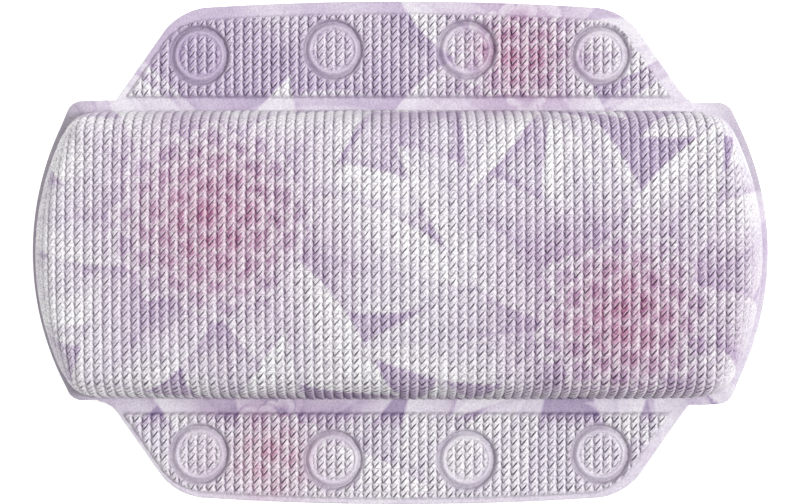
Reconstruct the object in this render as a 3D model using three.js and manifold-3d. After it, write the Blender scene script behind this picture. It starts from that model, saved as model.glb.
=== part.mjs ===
// Bath pillow: a foam cushion welded between two PVC sheets, with a suction-cup flap along each long side.
// Millimetres, +Z up. The pillow lies on its back: X runs along its width, Y from the lower flap to the
// upper one, and the printed front faces +Z. The origin is on the floor under the middle of the cushion.

import * as THREE from 'three';
import { mergeVertices } from 'three/addons/utils/BufferGeometryUtils.js';
import Module from 'manifold-3d';

const wasm = await Module();
wasm.setup();

// Overall sizes
const PILLOW_WIDTH = 320;
const PILLOW_HEIGHT = 220;
const GAP = 0.3;

// Fineness of the curves
const CURVE_POINTS = 6;
const PLAN_POINTS = 4;
const OUTER_STEPS = { wall: 4, crown: 3 };
const INNER_STEPS = { wall: 4, crown: 3 };
const BACK_STEPS = 5;
const FOLD_SEGMENTS = 12;
const RING_SEGMENTS = 24;
const CUP_SEGMENTS = 20;

// Sheets: the foamed front is pressed thin wherever it is welded to the back
const COVER_THICKNESS = 3.2;
const WELD_THICKNESS = 0.8;
const BACK_THICKNESS = 0.7;

// Cushion: a flat-topped loaf with round shoulders and bowed ends
const SHOULDER_WIDTH = 284;
const CUSHION_HEIGHT = 130;
const SHOULDER_CORNER = 5;
const FLANGE_WIDTH = 2.4;
const WALL_RISE = 34;
const WALL_RUN = 13;
const WALL_POWER = 2.6;
const CROWN_RISE = 8;
const CROWN_LAST_INSET = 48;
const BACK_OVERFILL = 1.06;

// Ribs that run down the embossed front: each one stands for six of its ropes
const RIB_PITCH = 24;
const RIB_CREST = 14;
const RIB_DEPTH = 1.2;
const RIBS_EACH_SIDE = 5;

// Flaps: slanted sides, round outer corners and a slightly bowed outer edge
const FOLD_Y = 66.2;
const FLAP_ROOT_WIDTH = 247.4;
const FLAP_SIDE_ANGLE = THREE.MathUtils.degToRad(35);
const FLAP_CORNER = 10;
const FLAP_EDGE_BOW = 3.4;
const FLAP_ROOT_FILLET = 4;
const FLAP_BORDER = 4;
const FIELD_START = 2.2;
const FIELD_BEVEL = 1;
const WELD_STRIP = 1.2;

// Ring welds that hold the suction cups
const RING_WELL_PROFILE = [[0, 0], [12.2, 0], [12.4, 1.8], [13, 3.4], [0, 3.4]];
const PAD_PROFILE = [
  [0, 0.4], [11.4, 0.4], [11.2, 1.4], [10.4, 2.1],
  [9.4, 1.7], [7.8, 2.3], [5, 2.7], [0, 2.8],
];
const CUP_PLACES = [[-87, 86.5], [-29, 89], [29, 89], [87, 86.5]];

// Suction cups
const CUP_HEIGHT = 9.5;
const CUP_PROFILE = [
  [0, 3.6], [5, 3.3], [10, 2.1], [14.2, 0], [16, 0], [15.7, 0.9],
  [12, 3.6], [8, 5.3], [5.6, 6.3], [5.4, 8.5], [11.5, 8.7], [11.5, 9.5], [0, 9.5],
];

// Levels worked out from the sizes above
const backBottom = CUP_HEIGHT + GAP;
const backTop = backBottom + BACK_THICKNESS;
const coverBottom = backTop + GAP;
const weldTop = coverBottom + WELD_THICKNESS;
const foldZ = (backBottom + weldTop) / 2;
const noseRadius = (weldTop - backBottom) / 2;
const halfWidth = PILLOW_WIDTH / 2;
const halfHeight = CUSHION_HEIGHT / 2;
const endBow = halfWidth - SHOULDER_WIDTH / 2;
const endRadius = (halfHeight ** 2 + endBow ** 2) / (2 * endBow);
const endCentre = halfWidth - endRadius;

const coverMaterial = new THREE.MeshStandardMaterial({ color: 0xd9cfe0, roughness: 0.55 });
const backMaterial = new THREE.MeshStandardMaterial({ color: 0xefeef0, roughness: 0.5 });
const foamMaterial = new THREE.MeshStandardMaterial({ color: 0xf0e9d2, roughness: 0.95 });
const cupMaterial = new THREE.MeshStandardMaterial({
  color: 0xe6eef0, roughness: 0.15, transparent: true, opacity: 0.55,
});

function mesh(name, geometry, material) {
  const piece = new THREE.Mesh(geometry, material);
  piece.name = name;
  return piece;
}

function toSolid(geometry) {
  const bare = geometry.clone();
  bare.deleteAttribute('normal');
  bare.deleteAttribute('uv');
  const merged = mergeVertices(bare);
  const vertProperties = new Float32Array(merged.attributes.position.array);
  const triVerts = new Uint32Array(merged.index.array);
  return new wasm.Manifold(new wasm.Mesh({ numProp: 3, vertProperties, triVerts }));
}

function toGeometry(solid) {
  const { vertProperties, triVerts } = solid.getMesh();
  const geometry = new THREE.BufferGeometry();
  geometry.setAttribute('position', new THREE.BufferAttribute(vertProperties, 3));
  geometry.setIndex(new THREE.BufferAttribute(triVerts, 1));
  geometry.computeVertexNormals();
  return geometry;
}

function revolve(profile, segments) {
  const points = profile.map(([radius, z]) => new THREE.Vector2(radius, z));
  return new THREE.LatheGeometry(points, segments).rotateX(Math.PI / 2);
}

// Cushion plan: straight long sides, ends bowed on an arc, corners rounded where they meet
function cushionOutline() {
  const shoulder = SHOULDER_WIDTH / 2;
  const sweep = Math.asin(halfHeight / endRadius) - SHOULDER_CORNER / endRadius;
  const arcEnd = {
    x: endCentre + endRadius * Math.cos(sweep),
    y: endRadius * Math.sin(sweep),
  };
  const shape = new THREE.Shape();
  shape.moveTo(shoulder - SHOULDER_CORNER, -halfHeight);
  shape.quadraticCurveTo(shoulder, -halfHeight, arcEnd.x, -arcEnd.y);
  shape.absarc(endCentre, 0, endRadius, -sweep, sweep, false);
  shape.quadraticCurveTo(shoulder, halfHeight, shoulder - SHOULDER_CORNER, halfHeight);
  shape.lineTo(SHOULDER_CORNER - shoulder, halfHeight);
  shape.quadraticCurveTo(-shoulder, halfHeight, -arcEnd.x, arcEnd.y);
  shape.absarc(-endCentre, 0, endRadius, Math.PI - sweep, Math.PI + sweep, false);
  shape.quadraticCurveTo(-shoulder, -halfHeight, SHOULDER_CORNER - shoulder, -halfHeight);
  shape.closePath();
  return shape.getPoints(PLAN_POINTS).slice(0, -1);
}

// Half the height of that plan at a place along its width, with the corners left sharp
function planHalfHeight(x) {
  const fromCentre = Math.abs(x) - endCentre;
  return Math.min(halfHeight, Math.sqrt(Math.max(0, endRadius ** 2 - fromCentre ** 2)));
}

// A closed skin through rings of points, shut at each end by a fan to one point
function skin(firstPoint, rings, lastPoint) {
  const positions = [...firstPoint, ...rings.flat(2), ...lastPoint];
  const around = rings[0].length;
  const last = 1 + rings.length * around;
  const index = [];
  for (let i = 0; i < around; i += 1) {
    const next = (i + 1) % around;
    index.push(0, 1 + next, 1 + i);
    for (let ring = 0; ring < rings.length - 1; ring += 1) {
      const low = 1 + ring * around;
      const high = low + around;
      index.push(low + i, low + next, high + next, low + i, high + next, high + i);
    }
    const rim = last - around;
    index.push(rim + i, rim + next, last);
  }
  const geometry = new THREE.BufferGeometry();
  geometry.setAttribute('position', new THREE.Float32BufferAttribute(positions, 3));
  geometry.setIndex(index);
  geometry.computeVertexNormals();
  return geometry;
}

// A solid whose section follows the cushion's plan, from the middle of its underside out to its edge
// and back to the middle of its top. Each section point is [inset from the edge, height].
function sweepSection(outline, bottomMiddle, section, topMiddle) {
  const rings = section.map(([inset, z]) => {
    const shrinkX = 1 - inset / halfWidth;
    const shrinkY = 1 - inset / halfHeight;
    return outline.map((point) => [point.x * shrinkX, point.y * shrinkY, z]);
  });
  return skin([0, 0, bottomMiddle], rings, [0, 0, topMiddle]);
}

// Front of the cushion: a steep wall that rounds over into a gently crowned top
function wallPoints(foot, base, rise, steps) {
  const points = [];
  for (let step = 0; step <= steps; step += 1) {
    const angle = (step / steps) * Math.PI / 2;
    const inward = 1 - Math.cos(angle) ** (2 / WALL_POWER);
    const upward = Math.sin(angle) ** (2 / WALL_POWER);
    points.push([foot + WALL_RUN * inward, base + rise * upward]);
  }
  return points;
}

function crownHeight(inset, base) {
  const toMiddle = 1 - inset / halfHeight;
  return base + CROWN_RISE * (1 - toMiddle ** 2);
}

function frontProfile(foot, base, top, steps) {
  const shoulderInset = foot + WALL_RUN;
  const points = wallPoints(foot, base, crownHeight(shoulderInset, top) - base, steps.wall);
  for (let step = 1; step <= steps.crown; step += 1) {
    const inset = shoulderInset + (CROWN_LAST_INSET - shoulderInset) * (step / steps.crown);
    points.push([inset, crownHeight(inset, top)]);
  }
  return points;
}

function frontHeight(inset, foot, base, top) {
  const shoulderInset = foot + WALL_RUN;
  if (inset >= shoulderInset) {
    return crownHeight(inset, top);
  }
  const rise = crownHeight(shoulderInset, top) - base;
  const outward = Math.min(1, (shoulderInset - inset) / WALL_RUN);
  return base + rise * (1 - outward ** WALL_POWER) ** (1 / WALL_POWER);
}

// Places along the width where the ribbed front is drawn, each [x, depth below the ribs' crests]
function ribPlaces(wallInsets) {
  const places = [];
  for (let rib = -RIBS_EACH_SIDE; rib <= RIBS_EACH_SIDE; rib += 1) {
    const middle = rib * RIB_PITCH;
    places.push([middle - RIB_PITCH / 2, RIB_DEPTH]);
    places.push([middle - RIB_CREST / 2, 0], [middle + RIB_CREST / 2, 0]);
  }
  const endRib = (RIBS_EACH_SIDE + 1) * RIB_PITCH;
  places.push([endRib - RIB_PITCH / 2, RIB_DEPTH]);
  const endXs = [endRib - RIB_CREST / 2, ...wallInsets.map((inset) => halfWidth - inset)];
  for (const x of endXs) {
    places.push([x, 0], [-x, 0]);
  }
  return places.sort((one, other) => one[0] - other[0]);
}

// Outer form of the front, a row of sections across the cushion that stands on the pressed flange
function ribbedFront(top) {
  const profile = frontProfile(FLANGE_WIDTH, weldTop, top, OUTER_STEPS);
  const insets = [...profile.map(([inset]) => inset), halfHeight];
  const wallInsets = insets.slice(1, OUTER_STEPS.wall + 1).reverse();
  const rings = ribPlaces(wallInsets).map(([x, depth]) => {
    const foot = FLANGE_WIDTH + depth;
    const reach = Math.min(halfHeight, halfWidth - Math.abs(x));
    const stretch = (reach - foot) / (halfHeight - FLANGE_WIDTH);
    const side = insets.map((inset) => {
      const drawn = foot + (inset - FLANGE_WIDTH) * stretch;
      const y = planHalfHeight(x / (1 - drawn / halfWidth)) * (1 - drawn / halfHeight);
      return [x, y, frontHeight(drawn, foot, weldTop, top - depth)];
    });
    const upper = [[x, side[0][1], weldTop - WELD_THICKNESS / 2], ...side];
    const lower = upper.slice(0, -1).reverse().map(([, y, z]) => [x, -y, z]);
    return [...upper, ...lower];
  });
  const endX = halfWidth - wallInsets.at(-1);
  return skin([-endX, 0, weldTop], rings, [endX, 0, weldTop]);
}

// Back of the cushion: a shallow lens that is flat only where it rests
function backDepth(inset) {
  const toMiddle = 1 - (inset - FLANGE_WIDTH) / (halfHeight - FLANGE_WIDTH);
  return Math.min(backBottom, BACK_OVERFILL * backBottom * (1 - toMiddle ** 2));
}

function backProfile(start, flangeZ) {
  const points = [];
  for (let step = 0; step <= BACK_STEPS; step += 1) {
    const inset = start + (CROWN_LAST_INSET - start) * (step / BACK_STEPS);
    points.push([inset, flangeZ - backDepth(inset)]);
  }
  return points;
}

function makeCushion() {
  const outline = cushionOutline();
  const top = weldTop + WALL_RISE;
  const innerTop = top - COVER_THICKNESS;
  const coreFoot = FLANGE_WIDTH + COVER_THICKNESS + GAP;
  const coreFlangeZ = backTop + GAP;

  // The cover is the ribbed front and its flange, hollowed for the foam
  const flange = sweepSection(outline, coverBottom, [[0, coverBottom], [0, weldTop]], weldTop);
  const innerFoot = FLANGE_WIDTH + COVER_THICKNESS;
  const hollowSection = [
    [innerFoot, coverBottom - GAP],
    ...frontProfile(innerFoot, coverBottom, innerTop, INNER_STEPS),
  ];
  const hollow = sweepSection(outline, coverBottom - GAP, hollowSection, crownHeight(halfHeight, innerTop));
  const cover = toSolid(flange).add(toSolid(ribbedFront(top))).subtract(toSolid(hollow));

  const backOuter = backProfile(FLANGE_WIDTH, backBottom);
  const backInner = backProfile(FLANGE_WIDTH, backTop);
  const backSection = [...backOuter.reverse(), [0, backBottom], [0, backTop], ...backInner];
  const back = sweepSection(outline, 0, backSection, BACK_THICKNESS);

  const coreUnder = backProfile(coreFoot, coreFlangeZ);
  const coreOver = frontProfile(coreFoot, coverBottom + GAP, innerTop - GAP, INNER_STEPS);
  const coreSection = [...coreUnder.reverse(), ...coreOver];
  const core = sweepSection(
    outline,
    BACK_THICKNESS + GAP,
    coreSection,
    crownHeight(halfHeight, innerTop - GAP),
  );

  const cushion = new THREE.Group();
  cushion.add(mesh('cushion_front_cover', toGeometry(cover), coverMaterial));
  cushion.add(mesh('cushion_back_sheet', back, backMaterial));
  cushion.add(mesh('foam_core', core, foamMaterial));
  return cushion;
}

// Flap plan, drawn for the upper flap, from startY outwards and drawn in by a border
function flapShape(startY, border, rootFillet) {
  const slope = Math.tan(FLAP_SIDE_ANGLE);
  const sideX = (y) => FLAP_ROOT_WIDTH / 2 - (y - FOLD_Y) * slope - border / Math.cos(FLAP_SIDE_ANGLE);
  const middleY = PILLOW_HEIGHT / 2 - border;
  const cornerY = middleY - FLAP_EDGE_BOW;
  const cornerX = sideX(cornerY);
  const sideEndY = cornerY - FLAP_CORNER * Math.cos(FLAP_SIDE_ANGLE);
  const edgeEndX = cornerX - FLAP_CORNER;
  const filletEndY = startY + rootFillet;
  const shape = new THREE.Shape();
  shape.moveTo(sideX(startY) + rootFillet, startY);
  if (rootFillet > 0) {
    shape.quadraticCurveTo(sideX(startY), startY, sideX(filletEndY), filletEndY);
  }
  shape.lineTo(sideX(sideEndY), sideEndY);
  shape.quadraticCurveTo(cornerX, cornerY, edgeEndX, cornerY);
  shape.quadraticCurveTo(0, 2 * middleY - cornerY, -edgeEndX, cornerY);
  shape.quadraticCurveTo(-cornerX, cornerY, -sideX(sideEndY), sideEndY);
  shape.lineTo(-sideX(filletEndY), filletEndY);
  if (rootFillet > 0) {
    shape.quadraticCurveTo(-sideX(startY), startY, -sideX(startY) - rootFillet, startY);
  }
  shape.closePath();
  return shape;
}

function extrude(shape, bottom, height, bevel) {
  const geometry = new THREE.ExtrudeGeometry(shape, {
    depth: height - bevel,
    curveSegments: CURVE_POINTS,
    bevelEnabled: bevel > 0,
    bevelThickness: bevel,
    bevelSize: bevel,
    bevelOffset: -bevel,
    bevelSegments: 2,
  });
  return geometry.translate(0, 0, bottom);
}

// Flap cover: the pressed sheet, its round fold edge, the raised field and a pad inside each ring weld
function makeFlapCover() {
  const sheet = extrude(flapShape(FOLD_Y, 0, FLAP_ROOT_FILLET), coverBottom, WELD_THICKNESS, 0);
  const foldLength = FLAP_ROOT_WIDTH + 2 * FLAP_ROOT_FILLET;
  const foldEdge = new THREE.CylinderGeometry(noseRadius, noseRadius, foldLength, FOLD_SEGMENTS);
  foldEdge.rotateZ(Math.PI / 2).translate(0, FOLD_Y, foldZ);
  const strip = new THREE.BoxGeometry(FLAP_ROOT_WIDTH, WELD_STRIP, 2 * noseRadius);
  strip.translate(0, FOLD_Y + WELD_STRIP / 2, foldZ);

  // The raised field is bevelled all round, then cut level inside the pressed sheet
  const fieldShape = flapShape(FOLD_Y + FIELD_START, FLAP_BORDER, 0);
  const below = new THREE.BoxGeometry(PILLOW_WIDTH, PILLOW_HEIGHT, 2 * COVER_THICKNESS);
  below.translate(0, PILLOW_HEIGHT / 2, coverBottom + WELD_THICKNESS / 2 - COVER_THICKNESS);
  let field = toSolid(extrude(fieldShape, coverBottom, COVER_THICKNESS, FIELD_BEVEL));
  field = field.subtract(toSolid(below));
  for (const [x, y] of CUP_PLACES) {
    field = field.subtract(toSolid(revolve(RING_WELL_PROFILE, RING_SEGMENTS).translate(x, y, coverBottom)));
  }

  let solid = toSolid(sheet).add(toSolid(foldEdge)).add(toSolid(strip)).add(field);
  for (const [x, y] of CUP_PLACES) {
    solid = solid.add(toSolid(revolve(PAD_PROFILE, RING_SEGMENTS).translate(x, y, coverBottom)));
  }
  return toGeometry(solid);
}

const flapCover = makeFlapCover();
const flapBackShape = flapShape(FOLD_Y + WELD_STRIP + GAP, 0, 0);
const flapBack = extrude(flapBackShape, backBottom, BACK_THICKNESS, 0);
const suctionCup = revolve(CUP_PROFILE, CUP_SEGMENTS);

// Both flaps are one pattern: the lower one is the upper one turned half round
function makeFlap(side, turn) {
  const flap = new THREE.Group();
  flap.rotation.z = turn;
  flap.add(mesh(`${side}_flap_cover`, flapCover, coverMaterial));
  flap.add(mesh(`${side}_flap_back`, flapBack, backMaterial));
  CUP_PLACES.forEach(([x, y], place) => {
    const fromLeft = turn === 0 ? place + 1 : CUP_PLACES.length - place;
    const cup = mesh(`suction_cup_${side}_${fromLeft}`, suctionCup, cupMaterial);
    cup.position.set(x, y, 0);
    flap.add(cup);
  });
  return flap;
}

const pillow = new THREE.Group();
pillow.add(makeCushion());
pillow.add(makeFlap('upper', 0));
pillow.add(makeFlap('lower', Math.PI));

export default pillow;
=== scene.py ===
import math

import bmesh
import bpy
import numpy as np
from bpy.props import FloatProperty, FloatVectorProperty, PointerProperty
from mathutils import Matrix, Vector
from mathutils.geometry import delaunay_2d_cdt


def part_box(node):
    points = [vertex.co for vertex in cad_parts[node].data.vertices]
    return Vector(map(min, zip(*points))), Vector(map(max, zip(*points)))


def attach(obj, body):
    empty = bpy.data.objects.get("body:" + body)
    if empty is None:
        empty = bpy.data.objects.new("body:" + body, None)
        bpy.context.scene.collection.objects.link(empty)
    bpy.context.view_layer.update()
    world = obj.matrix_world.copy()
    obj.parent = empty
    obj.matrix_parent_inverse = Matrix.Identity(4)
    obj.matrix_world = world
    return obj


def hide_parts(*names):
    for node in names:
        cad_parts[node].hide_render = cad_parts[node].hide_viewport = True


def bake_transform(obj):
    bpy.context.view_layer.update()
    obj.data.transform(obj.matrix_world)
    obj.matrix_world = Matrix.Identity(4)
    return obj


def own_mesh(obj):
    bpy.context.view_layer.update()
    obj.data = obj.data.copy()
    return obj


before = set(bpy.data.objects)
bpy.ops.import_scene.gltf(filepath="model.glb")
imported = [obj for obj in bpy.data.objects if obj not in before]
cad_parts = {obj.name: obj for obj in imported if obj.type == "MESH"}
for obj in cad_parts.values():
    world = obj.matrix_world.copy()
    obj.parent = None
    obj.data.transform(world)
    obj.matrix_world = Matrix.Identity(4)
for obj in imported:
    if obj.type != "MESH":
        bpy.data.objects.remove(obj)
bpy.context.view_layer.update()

bl_info = {
    "name": "Bath Pillow",
    "version": (1, 0, 0),
    "blender": (4, 5, 0),
    "location": "View3D > Sidebar > Bath Pillow",
    "description": "Dresses the packed bath pillow with its printed, embossed and welded sheets",
    "category": "Object",
}

SHEET_SEED = 11
# Distances that count as none: between merged points, along an outline and on a sheet
MERGE_DISTANCE = 1e-7
OUTLINE_TOLERANCE = 1e-6
SHEET_TOLERANCE = 1e-5


def linear(code):
    """Linear RGB of a #RRGGBB colour."""
    shares = [int(code[i:i + 2], 16) / 255 for i in (1, 3, 5)]
    return tuple(c / 12.92 if c <= 0.04045 else ((c + 0.055) / 1.055) ** 2.4 for c in shares)


def length_prop(name, description, default):
    return FloatProperty(name=name, description=description, default=default, unit="LENGTH", precision=5)


def colour_prop(name, description, code):
    return FloatVectorProperty(name=name, description=description, default=linear(code),
                               size=3, min=0, max=1, subtype="COLOR")


def share_prop(name, description, default):
    return FloatProperty(name=name, description=description, default=default, min=0, max=1, subtype="FACTOR")


def power_prop(name, description, default):
    return FloatProperty(name=name, description=description, default=default, unit="POWER")


class EmbossSettings(bpy.types.PropertyGroup):
    """The rope pattern pressed into the front sheet."""
    rope_pitch: length_prop("Rope pitch", "Distance from one rope to the next", 0.004)
    cell_height: length_prop("Cell height", "Length of one twist along a rope", 0.0033)
    depth: length_prop("Relief depth", "Height of a rope above the groove beside it", 0.0011)
    slit: share_prop("Slit depth", "Depth of the slit in each twist, as a share of the relief", 0.56)
    slit_start: share_prop("Slit start", "Where the slit leaves the groove, as a share of the pitch", 0.06)
    slit_end: share_prop("Slit end", "Where the twist stops climbing, as a share of the pitch", 0.8)
    waver: length_prop("Waver", "How far the grooves waver from twist to twist", 0.0008)


class CushionSettings(bpy.types.PropertyGroup):
    """The thick middle part and its weld flange."""
    shoulder: length_prop("Shoulder half width", "Half the width at the corners", 0.142)
    flange: length_prop("Flange", "Width of the weld flange", 0.0036)
    end_flange: length_prop("End flange", "Width of the weld flange at the ends", 0.0041)
    wall_run: length_prop("Wall run", "How far a wall leans in from foot to top", 0.0122)
    corner: length_prop("Corner radius", "Radius of the foot at a corner", 0.0158)
    crown: length_prop("Crown", "Rise of the top from its edges to its middle", 0.008)
    give: length_prop("Give", "How far the foam's push lifts the middle of the top", 0.0037)
    weld_top: length_prop("Weld level", "Height of the pressed sheet above the bath wall", 0.0116)
    seam: length_prop("Seam level", "Height where the front and back sheets meet", 0.0107)
    back_level: length_prop("Back level", "Height of the back sheet's outer face at the weld", 0.0098)


class FlapSettings(bpy.types.PropertyGroup):
    """The flat flaps and their ring welds."""
    slant: FloatProperty(name="Side angle", description="Lean of the flap's sides",
                         default=math.radians(35), subtype="ANGLE")
    corner: length_prop("Corner radius", "Radius of the outer corners", 0.009)
    bow: length_prop("Edge bow", "Bow of the outer edge", 0.0031)
    fold_y: length_prop("Fold", "Where the flap folds, from the middle", 0.0662)
    shoulder_y: length_prop("Shoulder", "Where the flap's sides start, from the middle", 0.065)
    field_base: length_prop("Field level", "Height of the grooves in the embossed field", 0.0131)
    tuck: length_prop("Tucked root", "Where the flap's sheet starts under the cushion's wall", 0.0585)
    bend_low: length_prop("Bend start", "Where the fold's bend starts", 0.0645)
    bend_high: length_prop("Bend end", "Where the fold's bend ends", 0.068)


class PrintSettings(bpy.types.PropertyGroup):
    """Inks of the printed sheet and the other sheets' colours."""
    deep: colour_prop("Deep lilac", "Darkest ink of the leaves", "#7C629C")
    middle: colour_prop("Mid lilac", "Middle ink of the leaves", "#C3B0CE")
    pale: colour_prop("Pale lilac", "Palest ink of the leaves", "#E5DEE9")
    white: colour_prop("Sheet white", "The sheet where it has no ink", "#FAF9FA")
    plum: colour_prop("Plum", "Darkest pink ink", "#9C5480")
    pink: colour_prop("Pink", "Middle pink ink", "#C98AAA")
    blush: colour_prop("Blush", "Palest pink ink", "#EBD8E0")
    back: colour_prop("Back sheet", "The plain sheet behind", "#ECEAEA")
    foam: colour_prop("Foam", "The foam inside", "#EFE6C8")
    cup: colour_prop("Cups", "The clear suction cups", "#F2F6F8")


class StageSettings(bpy.types.PropertyGroup):
    """Camera and lights."""
    camera_height: length_prop("Camera height", "Camera above the weld level", 0.855)
    view_width: length_prop("View width", "Width of the view at the weld level", 0.3478)
    sensor: FloatProperty(name="Sensor", description="Sensor width in millimetres", default=36.0)
    key_power: power_prop("Key power", "Power of the key lamp", 186.0)
    top_power: power_prop("Top power", "Power of the lamp above", 22.0)
    ambient: FloatProperty(name="Ambient", description="Strength of the light from all round", default=0.5)
    floor: colour_prop("Floor", "The pale floor", "#F4F4F4")


class PillowSettings(bpy.types.PropertyGroup):
    """All settings of the bath pillow."""
    emboss: PointerProperty(type=EmbossSettings)
    cushion: PointerProperty(type=CushionSettings)
    flap: PointerProperty(type=FlapSettings)
    print: PointerProperty(type=PrintSettings)
    stage: PointerProperty(type=StageSettings)


def settings():
    return bpy.context.scene.bath_pillow


# Curves and ramps

def smooth(low, high, value):
    """Smooth step from 0 at low to 1 at high."""
    share = np.clip((value - low) / (high - low), 0.0, 1.0)
    return share * share * (3.0 - 2.0 * share)


# Waves of the sheet's unevenness: radians per metre along x and y, and phase
SWELL_WAVES = ((61, 23, 0.7), (37, -71, 2.1), (97, 83, 4.0))


def swell(x, y):
    """Slow unevenness of a hand-filled sheet, from -1 to 1."""
    return sum(np.sin(a * x + b * y + phase) for a, b, phase in SWELL_WAVES) / len(SWELL_WAVES)


# Node helpers

def add_node(tree, kind, inputs=None, **values):
    """New node with its settings, its input values and its links."""
    made = tree.nodes.new(kind)
    for name, value in values.items():
        setattr(made, name, value)
    for key, value in (inputs or {}).items():
        if isinstance(value, bpy.types.NodeSocket):
            tree.links.new(value, made.inputs[key])
        else:
            made.inputs[key].default_value = value
    return made


def math_node(tree, operation, first, second=0.0):
    return add_node(tree, "ShaderNodeMath", {0: first, 1: second}, operation=operation).outputs[0]


def mix_colours(tree, factor, first, second, blend="MIX"):
    inputs = {0: factor, 6: first, 7: second}
    return add_node(tree, "ShaderNodeMix", inputs, data_type="RGBA", blend_type=blend).outputs[2]


def map_range(tree, value, low, high, to_low, to_high):
    inputs = {"Value": value, "From Min": low, "From Max": high, "To Min": to_low, "To Max": to_high}
    return add_node(tree, "ShaderNodeMapRange", inputs).outputs["Result"]


def band(tree, value, rise, full, fall, end):
    """1 between full and fall, 0 outside rise and end."""
    return math_node(tree, "MINIMUM", map_range(tree, value, rise, full, 0.0, 1.0),
                     map_range(tree, value, fall, end, 1.0, 0.0))


def chain(tree, operation, first, *others):
    """One value made of many, two at a time."""
    for other in others:
        first = math_node(tree, operation, first, other)
    return first


def product(tree, *factors):
    return chain(tree, "MULTIPLY", *factors)


def highest(tree, *values):
    return chain(tree, "MAXIMUM", *values)


def rope_cells(tree, s, t, pitch, cell_height, slit_start, slit_end):
    """Where sheet places lie in their ropes: across, along and past the slit, and each cell's own chance."""
    ropes = math_node(tree, "DIVIDE", s, pitch)
    across = math_node(tree, "FRACT", ropes)
    along = math_node(tree, "DIVIDE", t, cell_height)
    climbed = math_node(tree, "SUBTRACT", along, map_range(tree, across, slit_start, slit_end, 0.0, 1.0))
    past = math_node(tree, "ADD", climbed, 0.5)
    number = {"X": math_node(tree, "FLOOR", ropes), "Y": math_node(tree, "FLOOR", past)}
    cell = add_node(tree, "ShaderNodeCombineXYZ", number).outputs[0]
    chance = add_node(tree, "ShaderNodeTexWhiteNoise", {"Vector": cell}, noise_dimensions="2D")
    return across, math_node(tree, "FRACT", along), math_node(tree, "FRACT", past), chance.outputs["Value"]


def opaque(tint, share=1.0):
    """Colour of a tint, or of a share of its light."""
    return (*(share * c for c in tint), 1.0)


def ramp(tree, factor, stops):
    """Colour ramp through (place, colour) stops."""
    made = add_node(tree, "ShaderNodeValToRGB", {"Fac": factor})
    made.color_ramp.interpolation = "EASE"
    elements = made.color_ramp.elements
    while len(elements) < len(stops):
        elements.new(1.0)
    for element, (place, tint) in zip(elements, stops):
        element.position = place
        element.color = opaque(tint)
    return made.outputs["Color"]


def attribute(tree, name):
    return add_node(tree, "ShaderNodeAttribute", attribute_name=name).outputs["Fac"]


def noise(tree, coords, scale, detail=2.0):
    inputs = {"Vector": coords, "Scale": scale, "Detail": detail}
    return add_node(tree, "ShaderNodeTexNoise", inputs).outputs["Fac"]


def pebbles(tree, coords, scale, feature="SMOOTH_F1"):
    """Small round cells, side by side."""
    inputs = {"Vector": coords, "Scale": scale}
    return add_node(tree, "ShaderNodeTexVoronoi", inputs, feature=feature).outputs["Distance"]


def new_material(name, **values):
    """Node material with its constant shader values set on the sockets."""
    material = bpy.data.materials.new(name)
    material.use_nodes = True
    tree = material.node_tree
    shader = tree.nodes["Principled BSDF"]
    for key, value in values.items():
        shader.inputs[key.replace("_", " ")].default_value = value
    coords = add_node(tree, "ShaderNodeTexCoord").outputs["Object"]
    return material, tree, shader, coords


def add_bump(tree, shader, height, strength, distance):
    inputs = {"Height": height, "Strength": strength, "Distance": distance}
    made = add_node(tree, "ShaderNodeBump", inputs)
    tree.links.new(made.outputs["Normal"], shader.inputs["Normal"])


# Materials

# Painted shade in the grooves, and how the dust in the grain and the pressed welds darken the ink
GROOVE_SHADE = (0.09, 0.05, 0.115)
DUST_SHADE = (0.5, 0.48, 0.52)
PRESSED_SHADE = (0.76, 0.73, 0.78)


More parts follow.
